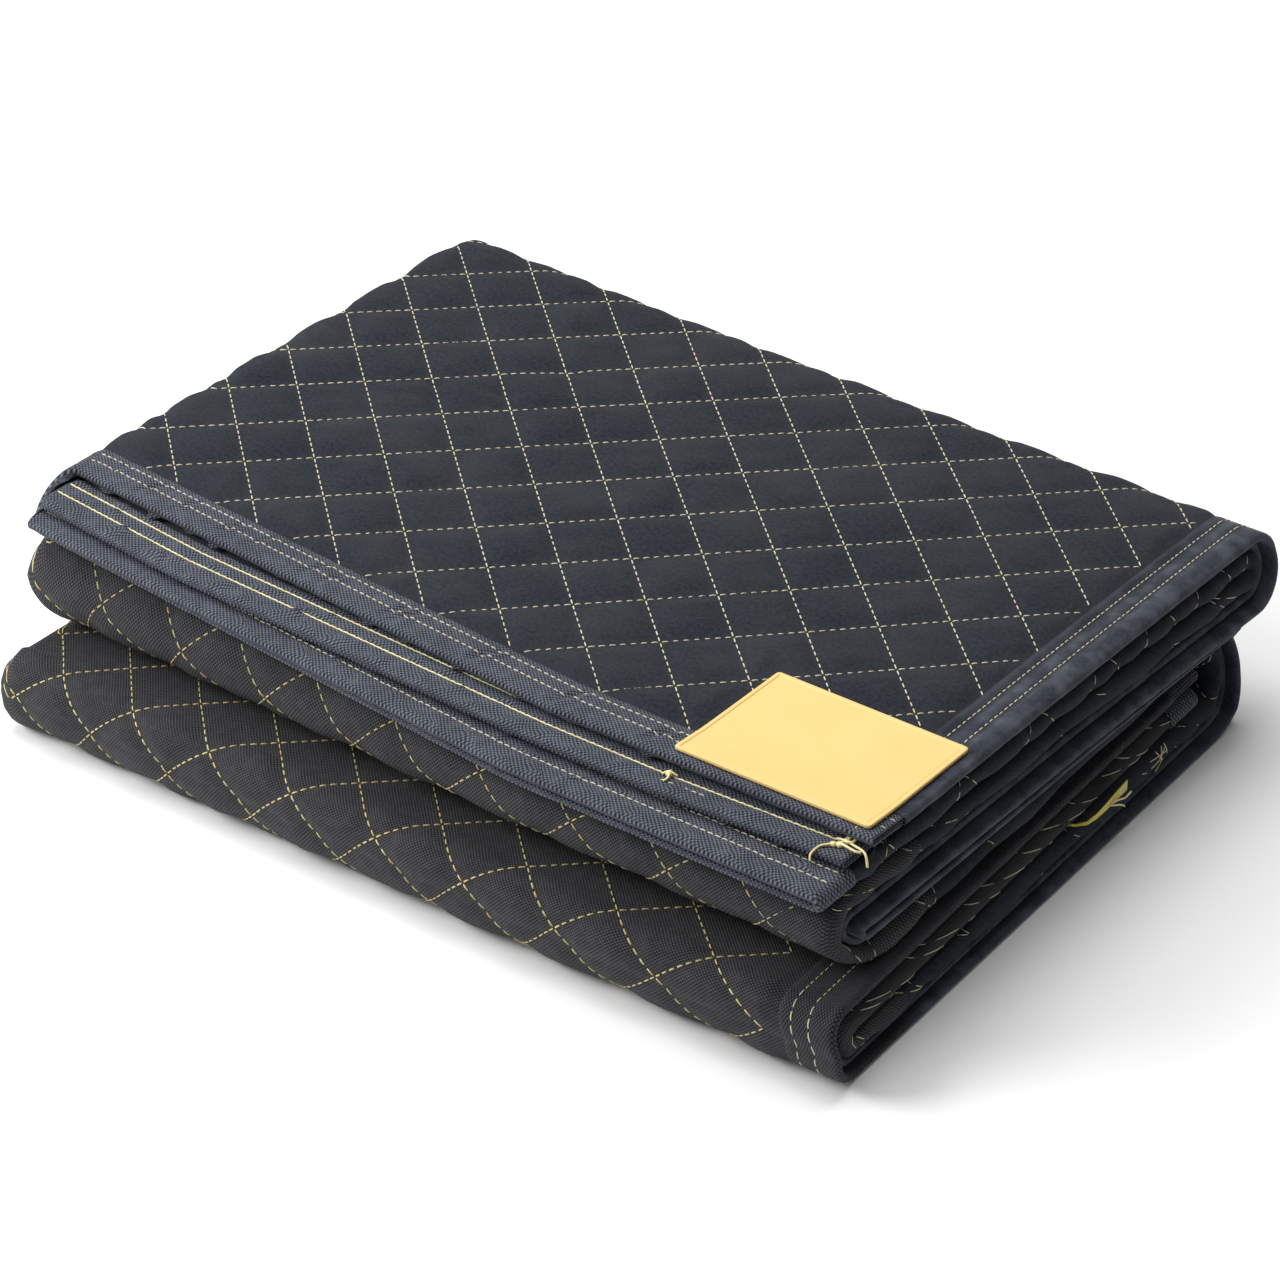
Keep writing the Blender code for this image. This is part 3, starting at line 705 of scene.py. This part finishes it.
def add_cloth():
    """The cloth: face A on the fine lines, face B on fewer of them, and the rim between."""
    a_along, a_across = np.meshgrid(ALONG, ACROSS, indexing="ij")
    b_along, b_across = np.meshgrid(ALONG[ALONG_B], ACROSS[ACROSS_B], indexing="ij")
    outer = cloth_face(a_along, a_across, FACE_A).reshape(-1, 3)
    inner = cloth_face(b_along, b_across, FACE_B).reshape(-1, 3)
    flat = [np.stack((along, true_across(along, across)), -1).reshape(-1, 2)
            for along, across in ((a_along, a_across), (b_along, b_across))]
    rows, rows_b = len(ACROSS), len(ACROSS_B)
    faces = grid_faces(len(ALONG), rows)
    faces += grid_faces(len(ALONG_B), rows_b, start=len(outer), flip=True)
    number_a = np.arange(len(outer)).reshape(-1, rows)
    number_b = len(outer) + np.arange(len(inner)).reshape(-1, rows_b)
    rims = [(number_a[edge], number_b[edge], ACROSS_B) for edge in (0, -1)]
    rims += [(number_a[:, edge], number_b[:, edge], ALONG_B) for edge in (0, -1)]
    for edge_a, edge_b, shared in rims:
        for k, (one, two) in enumerate(zip(shared, shared[1:])):
            faces.append([*edge_a[one:two + 1].tolist(), int(edge_b[k + 1]), int(edge_b[k])])
    cloth = add_piece("cloth", np.concatenate((outer, inner)), faces, BRUSHED,
                      np.concatenate(flat))
    middle = (ACROSS[1:] + ACROSS[:-1]) / 2
    front = (middle > RUN_ENDS[SECOND][1] - CANVAS_REACH) & (middle < RUN_ENDS[THIRD][0] + CANVAS_REACH)
    front |= middle > RUN_ENDS[FIFTH][1] - CANVAS_REACH
    second_material(cloth, CANVAS, np.tile(front, len(ALONG) - 1))
    return cloth


# The bindings

PUCKER = 1.4 * MM               # a dent over a seam's end
PUCKER_WIDTH = 2.0 * MM
PUCKER_RIDGE = 0.5              # the ridge beside it, as a share
PUCKER_SKEW = 0.5               # it runs aslant towards the edge
PUCKER_MIDDLE, PUCKER_REACH = 13 * MM, 9 * MM
HEM_SWELL = 0.8 * MM            # the top hem's rise between its dents
SWELL_FADE = 8 * MM
THIRD_PUCKERS = 0.35            # how deep they are on the third ply
END_PUCKERS = 0.2               # and on the smoother end hem
# Each is the rise, the middle inwards from the edge, and the reach
END_ROLL = (2.0 * MM, 5.5 * MM, 4 * MM)
END_RIDGE = (1.3 * MM, 24.4 * MM, 1.8 * MM)
ROW_DIP, ROW_DIP_REACH = 0.25 * MM, 1.1 * MM
LIP = 0.25 * MM
SECTION_AT = (24.8, 23.0, 21.5, 20.0, 17.5, 15.0, 13.4, 12.0, 10.6, 8.0, 5.0, 2.4, 0.6)


def binding_section():
    """Section of a folded binding: distance inwards from the edge, and off; outer side then inner."""
    top = [(BINDING_WIDTH, BINDING_INNER + 0.3 * BINDING_SKIN), (BINDING_WIDTH - LIP, BINDING_OUTER - LIP)]
    for inwards in np.array(SECTION_AT) * MM:
        dip = sum(math.exp(-((inwards - row) / ROW_DIP_REACH) ** 2) for row in STITCH_ROWS)
        top.append((inwards, BINDING_OUTER - ROW_DIP * dip))
    tip = []
    for turn in math.pi / 2 - math.pi * np.arange(1, 6) / 6:
        tip.append((-(EDGE_GAP + BINDING_SKIN) * math.cos(turn), BINDING_OUTER * math.sin(turn)))
    under = [(inwards, -off) for inwards, off in reversed(top)]
    inner = [(BINDING_WIDTH, BINDING_INNER), (-EDGE_GAP, BINDING_INNER)]
    back = [(inwards, -off) for inwards, off in inner] + inner[::-1]
    return np.array(top + tip + under), np.array(back)


def puckers(station, inwards, on_end=False):
    """Dents and ridges across a binding where the quilting's seams run under it, -1 to 1."""
    place = (station + PUCKER_SKEW * (inwards - BINDING_WIDTH), np.full_like(station, BINDING_WIDTH))
    m, n = lattice(*(place[::-1] if on_end else place))
    found = 0.0
    for seam, size in (((m + n) / 2, 1.0), ((m - n) / 2, 0.7)):
        away = 2 * STEP_M[0] * (seam - np.round(seam)) / PUCKER_WIDTH
        found = found + size * (PUCKER_RIDGE * np.exp(-(away - 1.9) ** 2) - np.exp(-away ** 2))
    return np.clip(found, -1.0, 0.6) * padded(inwards)


def padded(inwards):
    """The part of a binding between its edges that swells, 0 to 1."""
    return np.exp(-((inwards - PUCKER_MIDDLE) / PUCKER_REACH) ** 4)


def past_label(station, label_end, end):
    """The part of a binding on the top, past the label and before the fold, 0 to 1."""
    past = between(label_end + 2 * MM, label_end + SWELL_FADE, station)
    return past * (1 - between(end - SWELL_FADE, end, station))


def front_relief(station, inwards):
    """Rise of the front binding's outer side: full on the top, but flat under the label."""
    top = past_label(station, END_PLY_1 - LABEL_MIDDLE[0] + LABEL_SIZE[0] / 2, PLY_1_END)
    third = (station > STRIP_ENDS[PLY_3][0]) & (station < STRIP_ENDS[PLY_3][1])
    found = puckers(station, inwards)
    swollen = HEM_SWELL * padded(inwards) + PUCKER * found
    return top * swollen + third * THIRD_PUCKERS * PUCKER * np.minimum(found, 0.0)


def end_relief(station, inwards):
    """Rise of the top end binding: it rolls round its edge, and its inner edge stands up."""
    found = END_PUCKERS * PUCKER * np.minimum(puckers(station, inwards, on_end=True), 0.0)
    for rise, middle, reach in (END_ROLL, END_RIDGE):
        found = found + rise * np.exp(-((inwards - middle) / reach) ** 2)
    return past_label(station, LABEL_MIDDLE[1] + LABEL_SIZE[1] / 2 - FRONT_EDGE, FIRST_END) * found


def add_binding(name, node, stations, place, material, rise=None):
    """A binding along an edge; place(station, inwards, off) gives points."""
    outer, inner = binding_section()
    section = np.concatenate((outer, inner))
    station, number = np.meshgrid(stations, np.arange(len(section)), indexing="ij")
    inwards, off = section[number, 0], section[number, 1]
    side = np.sign(off)
    wobble = QUICK_RISE * ripple(QUICK, station, inwards)
    risen = rise(station, inwards) * (side > 0) if rise else 0.0
    off = off + side * (number < len(outer)) * (risen + wobble)
    points = place(station, inwards, off).reshape(-1, 3)
    flat = np.stack((station, inwards * np.where(side < 0, -1, 1)), -1).reshape(-1, 2)
    faces = closed_faces(len(stations), len(section))
    piece = add_piece(name, points, faces, material, flat)
    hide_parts(node)
    return piece


def binding_lines(path, fine, rough, fold_pitch):
    """Stations along a binding: fine on the first stretch, rough on the rest, close round folds."""
    found = []
    for number, (start, end) in enumerate(path.ends()):
        pitch = fold_pitch if end - start < STRAIGHT else fine if number == 0 else rough
        found += spread(start, end, pitch)
    return np.array(found + [path.length])


def tucked_place(station, inwards, off):
    return fold(station, RUNS.length - inwards, off)


def top_end_place(station, inwards, off):
    return fold(inwards, station, off)


def inner_end_place(station, inwards, off):
    return fold(STRIP.length - inwards, station, off)


def add_bindings():
    inset = BINDING_WIDTH + PIECE_GAP
    front_lines = binding_lines(STRIP, 1.3 * MM, 2.0 * MM, 1.4 * MM)
    tucked_lines = binding_lines(STRIP, 12 * MM, 16 * MM, 1.6 * MM)
    end_lines = binding_lines(RUNS, 2.4 * MM, 5 * MM, 1.6 * MM)
    end_lines = end_lines[(end_lines > inset) & (end_lines < RUNS.length - inset)]
    end_lines = np.concatenate(([inset], end_lines, [RUNS.length - inset]))
    end_hem = add_binding("top_end_hem", "top_end_binding", end_lines, top_end_place, END_BINDING, end_relief)
    on_corner = end_lines[:-1] > RUN_ENDS[LOW_FRONT][0] - CANVAS_REACH
    around = sum(len(part) for part in binding_section())
    second_material(end_hem, CORNER_BINDING, np.repeat(on_corner, around))
    return [
        end_hem,
        add_binding("front_hem", "front_binding", front_lines, fold, BINDING, front_relief),
        add_binding("tucked_hem", "tucked_binding", tucked_lines, tucked_place, BINDING),
        add_binding("inner_end_hem", "inner_end_binding", end_lines, inner_end_place, END_BINDING),
    ]


# Stitches

STITCH_LENGTH = 3.7 * MM
STITCHES_A_SIDE = 7             # along one side of a diamond
THREAD = 0.42 * MM              # half a thread's width as it lies
ROW_THREAD = 0.36 * MM
SHADED_THREAD = 0.25 * MM
INSIDE_THREAD = 0.5 * MM
DASH_STATIONS = np.array((-0.5, -0.36, 0.0, 0.36, 0.5))
DASH_WIDTH = np.array((0.35, 0.9, 1.0, 0.9, 0.35))
DASH_LIFT = np.array((-0.6, 0.1, 0.45, 0.1, -0.6))
DASH_SIDES = 5
RIGHT_SEAMS = 34 * MM           # the seams show this far each side of the right folds


def unit(steps):
    """The directions of steps, each of length 1."""
    return steps / (np.linalg.norm(steps, axis=-1, keepdims=True) + 1e-12)


def stitches(name, dashes, surface, material, width=THREAD):
    """Dashes of thread on a surface.

    dashes is an array of (place 1, place 2, step 1, step 2) on the flat piece,
    a step being the whole dash; surface(place 1, place 2, lift) gives points.
    """
    middle, step = dashes[:, None, 0:2], dashes[:, None, 2:4]
    place = middle + step * DASH_STATIONS[None, :, None]
    base = surface(place[..., 0], place[..., 1], 0.0)
    up = unit(surface(place[..., 0], place[..., 1], 1 * MM) - base)
    side = unit(np.cross(unit(base[:, -1:, :] - base[:, :1, :]), up))
    centre = base + up * (width * DASH_LIFT)[None, :, None]
    turn = 2 * math.pi * np.arange(DASH_SIDES) / DASH_SIDES
    reach = (width * DASH_WIDTH)[None, :, None, None]
    ring = side[:, :, None, :] * np.cos(turn)[None, None, :, None]
    ring = ring + up[:, :, None, :] * np.sin(turn)[None, None, :, None]
    points = (centre[:, :, None, :] + reach * ring).reshape(-1, 3)
    stations = len(DASH_STATIONS)
    starts = np.arange(len(dashes)) * stations * DASH_SIDES
    one = closed_faces(stations, DASH_SIDES)
    quads, caps = np.array(one[:-2]), np.array(one[-2:])
    faces = [(starts[:, None, None] + part).reshape(-1, part.shape[1]).tolist() for part in (quads, caps)]
    return add_piece(name, points, faces[0] + faces[1], material)


def seam_dashes(low_m, high_m, low_n, high_n):
    """Dashes of the quilting in lattice steps: (m, n, step m, step n)."""
    share = STITCH_LENGTH / math.hypot(STEP_M[0] + STEP_N[0], STEP_M[1] + STEP_N[1])
    found = []
    draw = np.random.default_rng(21)
    for way in (1, -1):
        lowest = math.floor(min(low_m - way * high_n, low_m - way * low_n) / 2)
        highest = math.ceil(max(high_m - way * low_n, high_m - way * high_n) / 2)
        for seam in range(lowest, highest + 1):
            n = low_n + (np.arange((high_n - low_n) * STITCHES_A_SIDE) + 0.5) / STITCHES_A_SIDE
            m = 2 * seam + way * n
            keep = (m > low_m) & (m < high_m)
            length = share * draw.uniform(0.9, 1.08, n.shape)
            found.append(np.stack((m, n, way * length, length), -1)[keep])
    return np.concatenate(found)


def across_from_true(along, flat):
    """The fold plan's distance across for a distance along the cloth as it lies on the top."""
    y = FRONT_EDGE + flat
    near = LEAN_FADE[1] - LEAN_FADE[0]
    out = top_out(along)
    unshifted = np.where(y < LEAN_FADE[0] - out, y + out, (y * near + out * LEAN_FADE[1]) / (near + out))
    flat = np.where(y < LEAN_FADE[1], unshifted - FRONT_EDGE, flat)
    _, height, _ = STRIP.at(along)
    corners = np.array([0.0] + [end for _, end in RUN_ENDS])
    _, _, headings = RUNS.at(corners)
    true = corners - height[..., None] * headings
    index = np.clip((flat[..., None] >= true).sum(-1) - 1, 0, len(corners) - 2)
    low = np.take_along_axis(true, index[..., None], -1)[..., 0]
    high = np.take_along_axis(true, index[..., None] + 1, -1)[..., 0]
    return corners[index] + (flat - low) / (high - low) * (corners[index + 1] - corners[index])


def flat_place(m, n):
    """Along and across of a place in the quilting; it undoes lattice()."""
    samples = np.linspace(0, STRIP.length, 4000)
    slipped = samples - slip(samples)[0]
    x = CROSSING[0] + m * STEP_M[0] + n * STEP_N[0]
    y = CROSSING[1] + m * STEP_M[1] + n * STEP_N[1]
    shift_x, shift_y = 0.0, 0.0
    for _ in range(4):
        along = np.interp(END_PLY_1 - x - shift_x, slipped, samples)
        across = across_from_true(along, y + shift_y - FRONT_EDGE + slip(along)[1])
        shift_x, shift_y = seam_shift(along, across)
    return along, across


def quilt_surface(m, n, lift):
    return cloth_face(*flat_place(m, n), FACE_A, lift)


def add_quilting():
    inset = BINDING_WIDTH + 1.0 * MM
    dashes = seam_dashes(-60, 11, -8, 80)
    along, across = flat_place(dashes[:, 0], dashes[:, 1])
    strip, runs = STRIP_ENDS, RUN_ENDS
    inside = (along > inset) & (along < strip[PLY_3][0] + RIGHT_SEAMS)
    inside &= (across > inset) & (across < RUNS.length - inset)
    dashes, along, across = dashes[inside], along[inside], across[inside]
    first = along < strip[LEFT_FOLD][0] + 14 * MM
    top = first & (across < runs[FIRST][1]) & (off_label(along, across) >= 0)
    back = first & (across >= runs[FIRST][1]) & (across < runs[BACK_FOLD][1] + 40 * MM)
    back |= first & (across > runs[LOW_BACK][0] - 40 * MM) & (across < runs[LOW_BACK][1] + 10 * MM)
    second = ~first & (along < strip[PLY_2][1] - RIGHT_SEAMS)
    right = ~first & ~second
    upper = second & (across > runs[FRONT_FOLD][0] - 60 * MM) & (across < runs[FRONT_FOLD][1] + 50 * MM)
    lower = first & (across > runs[LOW_FRONT][0] - 25 * MM) & (across < runs[LOW_FRONT][1] + 60 * MM)
    return [
        stitches("quilting_top", dashes[top], quilt_surface, CREAM_THREAD),
        stitches("quilting_back", dashes[back], quilt_surface, CREAM_THREAD),
        stitches("quilting_right", dashes[right], quilt_surface, CREAM_THREAD, SHADED_THREAD),
        stitches("quilting_upper_front", dashes[upper], quilt_surface, YELLOW_THREAD),
        stitches("quilting_lower_front", dashes[lower], quilt_surface, YELLOW_THREAD),
    ]


def row_dashes(start, end, inwards, pitch=4.2 * MM, length=3.2 * MM):
    """Dashes of a straight row at a distance from an edge."""
    place = np.arange(start + pitch / 2, end, pitch)
    return np.stack((place, np.full_like(place, inwards), np.full_like(place, length),
                     np.zeros_like(place)), -1)


def binding_surface(place, face, rise=None):
    """Points on a binding's outer surface at (station, inwards), lifted."""
    def surface(station, inwards, lift):
        risen = rise(station, inwards) if rise else 0.0
        return place(station, inwards, face * (BINDING_OUTER - 0.2 * MM + risen + lift))
    return surface


def add_hem_rows():
    strip, runs = STRIP_ENDS, RUN_ENDS
    rows = lambda spans, *sizes: np.concatenate(
        [row_dashes(low, high, row, *sizes) for low, high in spans for row in STITCH_ROWS])
    outer = binding_surface(fold, FACE_A, front_relief)
    inner = binding_surface(fold, FACE_B)
    end = binding_surface(top_end_place, FACE_A, end_relief)
    shown = [(0, runs[BACK_FOLD][1] + 20 * MM), (runs[LOW_BACK][0] - 20 * MM, runs[LOW_BACK][1]),
             (runs[LOW_FRONT][0] - 20 * MM, runs[LOW_FRONT][1] + 60 * MM)]
    return [
        stitches("hem_rows_top", rows((strip[PLY_1], strip[PLY_3])), outer, CREAM_THREAD, ROW_THREAD),
        stitches("hem_rows_inside", rows((strip[PLY_2], strip[PLY_4]), 4.2 * MM, 4.6 * MM), inner,
                 PALE_THREAD, INSIDE_THREAD),
        stitches("end_rows", rows(shown), end, CREAM_THREAD, ROW_THREAD),
    ]


# Label and ribbon

def add_label():
    """A moulded plate with a raised, rounded rim."""
    half = np.array(LABEL_SIZE) / 2

    def outline(inset):
        """Rounded rectangle, inset from the label's edge."""
        radius = max(LABEL_CORNER - inset, LEAST_CORNER)
        arcs = []
        for quarter, sides in enumerate(((1, 1), (-1, 1), (-1, -1), (1, -1))):
            turn = math.pi / 2 * (quarter + np.arange(LABEL_ARC + 1) / LABEL_ARC)
            centre = np.array(sides) * (half - inset - radius)
            arcs.append(centre + radius * np.stack((np.cos(turn), np.sin(turn)), -1))
        edges = [np.linspace(arc[-1], after[0], 13)[1:-1] for arc, after in zip(arcs, arcs[1:] + arcs[:1])]
        return np.concatenate([part for pair in zip(arcs, edges) for part in pair])

    base = BINDING_OUTER + PIECE_GAP
    thick = LABEL_THICK / MM
    rings = [(outline(inset * MM), rise) for inset, rise in (
        (0.25, 0.0), (0.0, 0.25), (0.0, thick), (0.15, thick + 0.3), (0.5, thick + 0.4),
        (2.0, thick + 0.4), (2.25, thick + 0.3), (2.4, thick - 0.05), (2.7, thick - 0.05),
        (2.9, thick + 0.15), (3.2, thick + 0.15))]
    rings += [(rings[-1][0] * share, thick + 0.15) for share in (0.85, 0.65, 0.45, 0.25, 0.1)]
    size = len(rings[0][0])
    points = [np.column_stack((shape, np.full(size, base + rise * MM))) for shape, rise in rings]
    stack = np.concatenate(points)
    x, y = stack[:, 0] + LABEL_MIDDLE[0], stack[:, 1] + LABEL_MIDDLE[1]
    places = fold(END_PLY_1 - x, y - FRONT_EDGE, stack[:, 2])
    faces = closed_faces(len(points), size)
    label = add_piece("label_plate", places, faces, RUBBER)
    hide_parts("corner_label")
    return label


# The ribbon's middle line past the end of the pile: x, y, rise and half width, in millimetres
RIBBON_LINE = np.array((
    (-9, 0, 0.0, 0.6),
    (-3, 2, 0.6, 0.7),
    (1.5, 6, 1.4, 1.0),
    (3.2, 13, 2.4, 1.5),
    (3.8, 22, 3.6, 2.1),
    (4.2, 31, 5.0, 2.6),
    (5.0, 40, 6.6, 3.1),
)) * MM
RIBBON_THICK = 0.35 * MM
TAILS = np.array((
    ((4.4, 24, 3.0), (5.6, 27, 2.0), (6.6, 31, 0.5), (6.4, 35, -2.2), (5.8, 37, -4.0)),
    ((4.4, 25, 3.4), (6.0, 30, 3.6), (7.0, 35, 2.6), (7.4, 38, 3.4), (7.0, 41, 3.0)),
)) * MM
TUFT = np.array((
    ((5, 66, 2), (6.5, 71, 5), (6, 77, 9)),
    ((5, 78, 1), (6.8, 72, 6), (5.5, 68, 11)),
    ((5, 70, -2), (7, 72, 4), (6, 73, 12)),
    ((5, 82, 3), (6.5, 78, 8), (6, 76, 12)),
    ((5, 64, 7), (6.8, 70, 8), (6, 79, 6)),
)) * MM


def beside_pile(points):
    """Places beside the right end, from points past ply 1's end at the lower runs' level."""
    level = (RUN_4 + RUN_5) * PLY / 2
    places = as_it_lies(END_PLY_1 + points[..., 0], points[..., 1], np.full(points.shape[:-1], level))
    places[..., 2] += points[..., 2]
    return places


def add_tab():
    """The ribbon's loose end against the end of the pile, slim where it comes out."""
    places = beside_pile(RIBBON_LINE)
    wide = RIBBON_LINE[:, 3]
    section = ((1, 1), (0.5, 1.3), (-0.5, 1.3), (-1, 1), (-1, -1), (1, -1))
    points = [place + np.array((thick * RIBBON_THICK / 2, 0, across * half))
              for place, half in zip(places, wide) for across, thick in section]
    tab = add_piece("ribbon_end", points, closed_faces(len(places), len(section)), RIBBON)
    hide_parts("ribbon_tab")
    return tab


# Loose threads on the second edge's hem, in millimetres: x, distance from the edge,
# and how far right, back and up from there
LOOSE = 0.6 * MM
KNOT = 1.5 * MM
HEM_THREADS = (
    # the row's knot at the joint
    ((148, 14, 0, 0, 0.4), (149, 11, 0, 0, 1.8), (150.5, 8, 0, 0, 0.8), (150, 5.0, 0, 0, 0.2)),
    ((146, 9.5, 0, 0, 0.2), (149, 11, 0, 0, 1.9), (153, 12.0, 0, 0, 0.2)),
    # over the second edge's corner
    ((240, 11.2, 0, 0, 0.3), (245, 10.5, 0, 0, 1.2), (250, 9.5, 0, 0, 1.0), (250, 8.5, 5, 0, 0.8),
     (250, 8, 8, -1, -0.5), (250, 8, 9.5, -2, -5)),
    ((245, 11, 0, 0, 0.8), (246, 12, 0, 2, 2.5), (247, 12, 0, 6, 4.0), (247, 12, 3, 8, 4.6),
     (247, 12, 7, 8, 4.2)),
    ((243.5, 11.5, 0, 0, 0.6), (245, 14, 0, 0, 1.8), (248, 13.5, 0, 0, 2.2), (248, 10.5, 0, 0, 1.6),
     (244.5, 9.5, 0, 0, 1.2)),
    ((245, 10, 0, 0, 1.0), (243, 7, 0, 0, 1.2), (240, 4, 0, 0, 0.9), (237, 2, 0, -1, 0.2),
     (236, 0, 0, -4, -1.5), (236, 0, 1, -6, -4)),
    ((244, 7, 0, 0, 1.6), (248, 5.5, 0, 0, 2.2), (250, 5.5, 3, 0, 1.4), (250, 7, 5, 0, 0.8)),
)
HEM_KNOTS = ((149, 10.5), (241.5, 5.5), (244, 6.5), (245.5, 10.5))
ASKEW = (0.31, 0.22, 0.92)      # no thread runs this way


def second_edge(x, inwards, right=0.0, back=0.0, up=0.0):
    """Places on the upper side of the second edge's hem, and off it, in millimetres."""
    along = STRIP_ENDS[PLY_4][0] + x * MM - STRIP_LEFT
    return fold(along, inwards * MM, -BINDING_OUTER) + np.array((right, back, up + 0.3)) * MM


def smooth_line(points, per_stretch=5):
    """More places on a smooth curve through points."""
    points = np.asarray(points, float)
    ahead = np.concatenate((points[:1], points, points[-1:]))
    found = []
    for a, b, c, d in zip(ahead, ahead[1:], ahead[2:], ahead[3:]):
        for t in np.arange(per_stretch) / per_stretch:
            found.append(0.5 * (2 * b + (c - a) * t + (2 * a - 5 * b + 4 * c - d) * t ** 2
                                + (3 * b - a - 3 * c + d) * t ** 3))
    return np.array(found + [points[-1]])


def tube(line, radius, sides=6):
    """Points and faces of a round thread along a line, closed at both ends."""
    heading = unit(np.gradient(line, axis=0))
    side = unit(np.cross(heading, ASKEW))
    other = np.cross(heading, side)
    turn = 2 * math.pi * np.arange(sides) / sides
    ring = side[:, None] * np.cos(turn)[None, :, None] + other[:, None] * np.sin(turn)[None, :, None]
    radius = np.broadcast_to(radius, len(line))
    points = (line[:, None] + radius[:, None, None] * ring).reshape(-1, 3)
    return points, closed_faces(len(line), sides)


def add_tubes(name, lines, material):
    """One piece of several threads, each (line, radius)."""
    points, faces = [], []
    for line, radius in lines:
        start = sum(len(p) for p in points)
        new, quads = tube(line, radius)
        points.append(new)
        faces += [[start + index for index in face] for face in quads]
    return add_piece(name, np.concatenate(points), faces, material)


def add_loose_threads():
    """Thread ends and knots that hang out at the second edge, and beside the ribbon."""
    lines = []
    for places in HEM_THREADS:
        lines.append((smooth_line([second_edge(*place) for place in places]), LOOSE))
    round_profile = np.sqrt(1 - np.linspace(-0.97, 0.97, 7) ** 2)
    for x, inwards in HEM_KNOTS:
        ends = [second_edge(x + dx, inwards, 0, 0, 0.7) for dx in (-1.8, 1.8)]
        steps = np.linspace(0, 1, 7)[:, None]
        lines.append((ends[0] * (1 - steps) + ends[1] * steps, KNOT * round_profile))
    beside = [(smooth_line(beside_pile(points)), SHADED_THREAD) for points in TUFT]
    tails = [(smooth_line(beside_pile(points)), LOOSE * 0.8) for points in TAILS]
    start = STRIP_ENDS[PLY_4][0] + 147 * MM - STRIP_LEFT
    dashes = row_dashes(start, start + 27 * MM, 6.2 * MM)
    return [
        add_tubes("loose_threads", lines, PALE_THREAD),
        add_tubes("end_tufts", beside, CREAM_THREAD),
        add_tubes("ribbon_tails", tails, PALE_THREAD),
        stitches("short_second_row", dashes, binding_surface(fold, FACE_B), CREAM_THREAD),
    ]


# Stage

FLOOR_HALF = 12.0
FLOOR_SHADE = (0.93, 0.93, 0.93, 1)
WORLD_STRENGTH = 0.19
LIT = (0, 0, 0.06)              # what the lights look at
# Each light's name, place, size and watts
LIGHTS = (
    ("key", (-1.45, -1.2, 1.3), (1.3, 1.1), 52),
    ("top", (-0.5, 0.3, 2.8), (2.6, 2.2), 80),
)


def add_stage():
    mesh = bpy.data.meshes.new("floor")
    corners = [(x, y, 0) for x, y in ((-1, -1), (1, -1), (1, 1), (-1, 1))]
    mesh.from_pydata([(FLOOR_HALF * x, FLOOR_HALF * y, z) for x, y, z in corners], [], [(0, 1, 2, 3)])
    floor = bpy.data.objects.new("floor", mesh)
    bpy.context.scene.collection.objects.link(floor)
    finish = Finish("pale_floor", 0.85, flat=False)
    finish.shader.inputs["Base Color"].default_value = FLOOR_SHADE
    mesh.materials.append(finish.material)
    world = bpy.data.worlds.new("studio")
    world.use_nodes = True
    sky = world.node_tree.nodes["Background"].inputs
    sky["Color"].default_value = (1, 1, 1, 1)
    sky["Strength"].default_value = WORLD_STRENGTH
    bpy.context.scene.world = world
    bpy.context.scene.view_settings.view_transform = "Standard"


def put(name, data, place, target):
    """A light or camera at place that looks at target."""
    thing = bpy.data.objects.new(name, data)
    thing.location = place
    thing.rotation_euler = (Vector(target) - Vector(place)).to_track_quat("-Z", "Y").to_euler()
    bpy.context.scene.collection.objects.link(thing)
    return thing


def add_light(name, place, size, energy):
    light = bpy.data.lights.new(name, "AREA")
    light.shape = "RECTANGLE"
    light.size, light.size_y = size
    light.energy = energy
    put(name, light, place, LIT)


def add_camera():
    camera = bpy.data.cameras.new("camera")
    camera.lens = CAMERA_LENS
    camera.sensor_width = 36
    camera.clip_end = 50
    back = (math.sin(CAMERA_AZIMUTH) * math.cos(CAMERA_ELEVATION),
            -math.cos(CAMERA_AZIMUTH) * math.cos(CAMERA_ELEVATION), math.sin(CAMERA_ELEVATION))
    place = [t + CAMERA_DISTANCE * b for t, b in zip(CAMERA_TARGET, back)]
    bpy.context.scene.camera = put("camera", camera, place, CAMERA_TARGET)


add_camera()
add_stage()
for name, place, size, energy in LIGHTS:
    add_light(name, place, size, energy)

CLOTH_PIECE = add_cloth()
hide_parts("quilted_cloth")
HEMS = add_bindings()
QUILTING = add_quilting()
add_hem_rows()
add_label()
add_tab()
add_loose_threads()
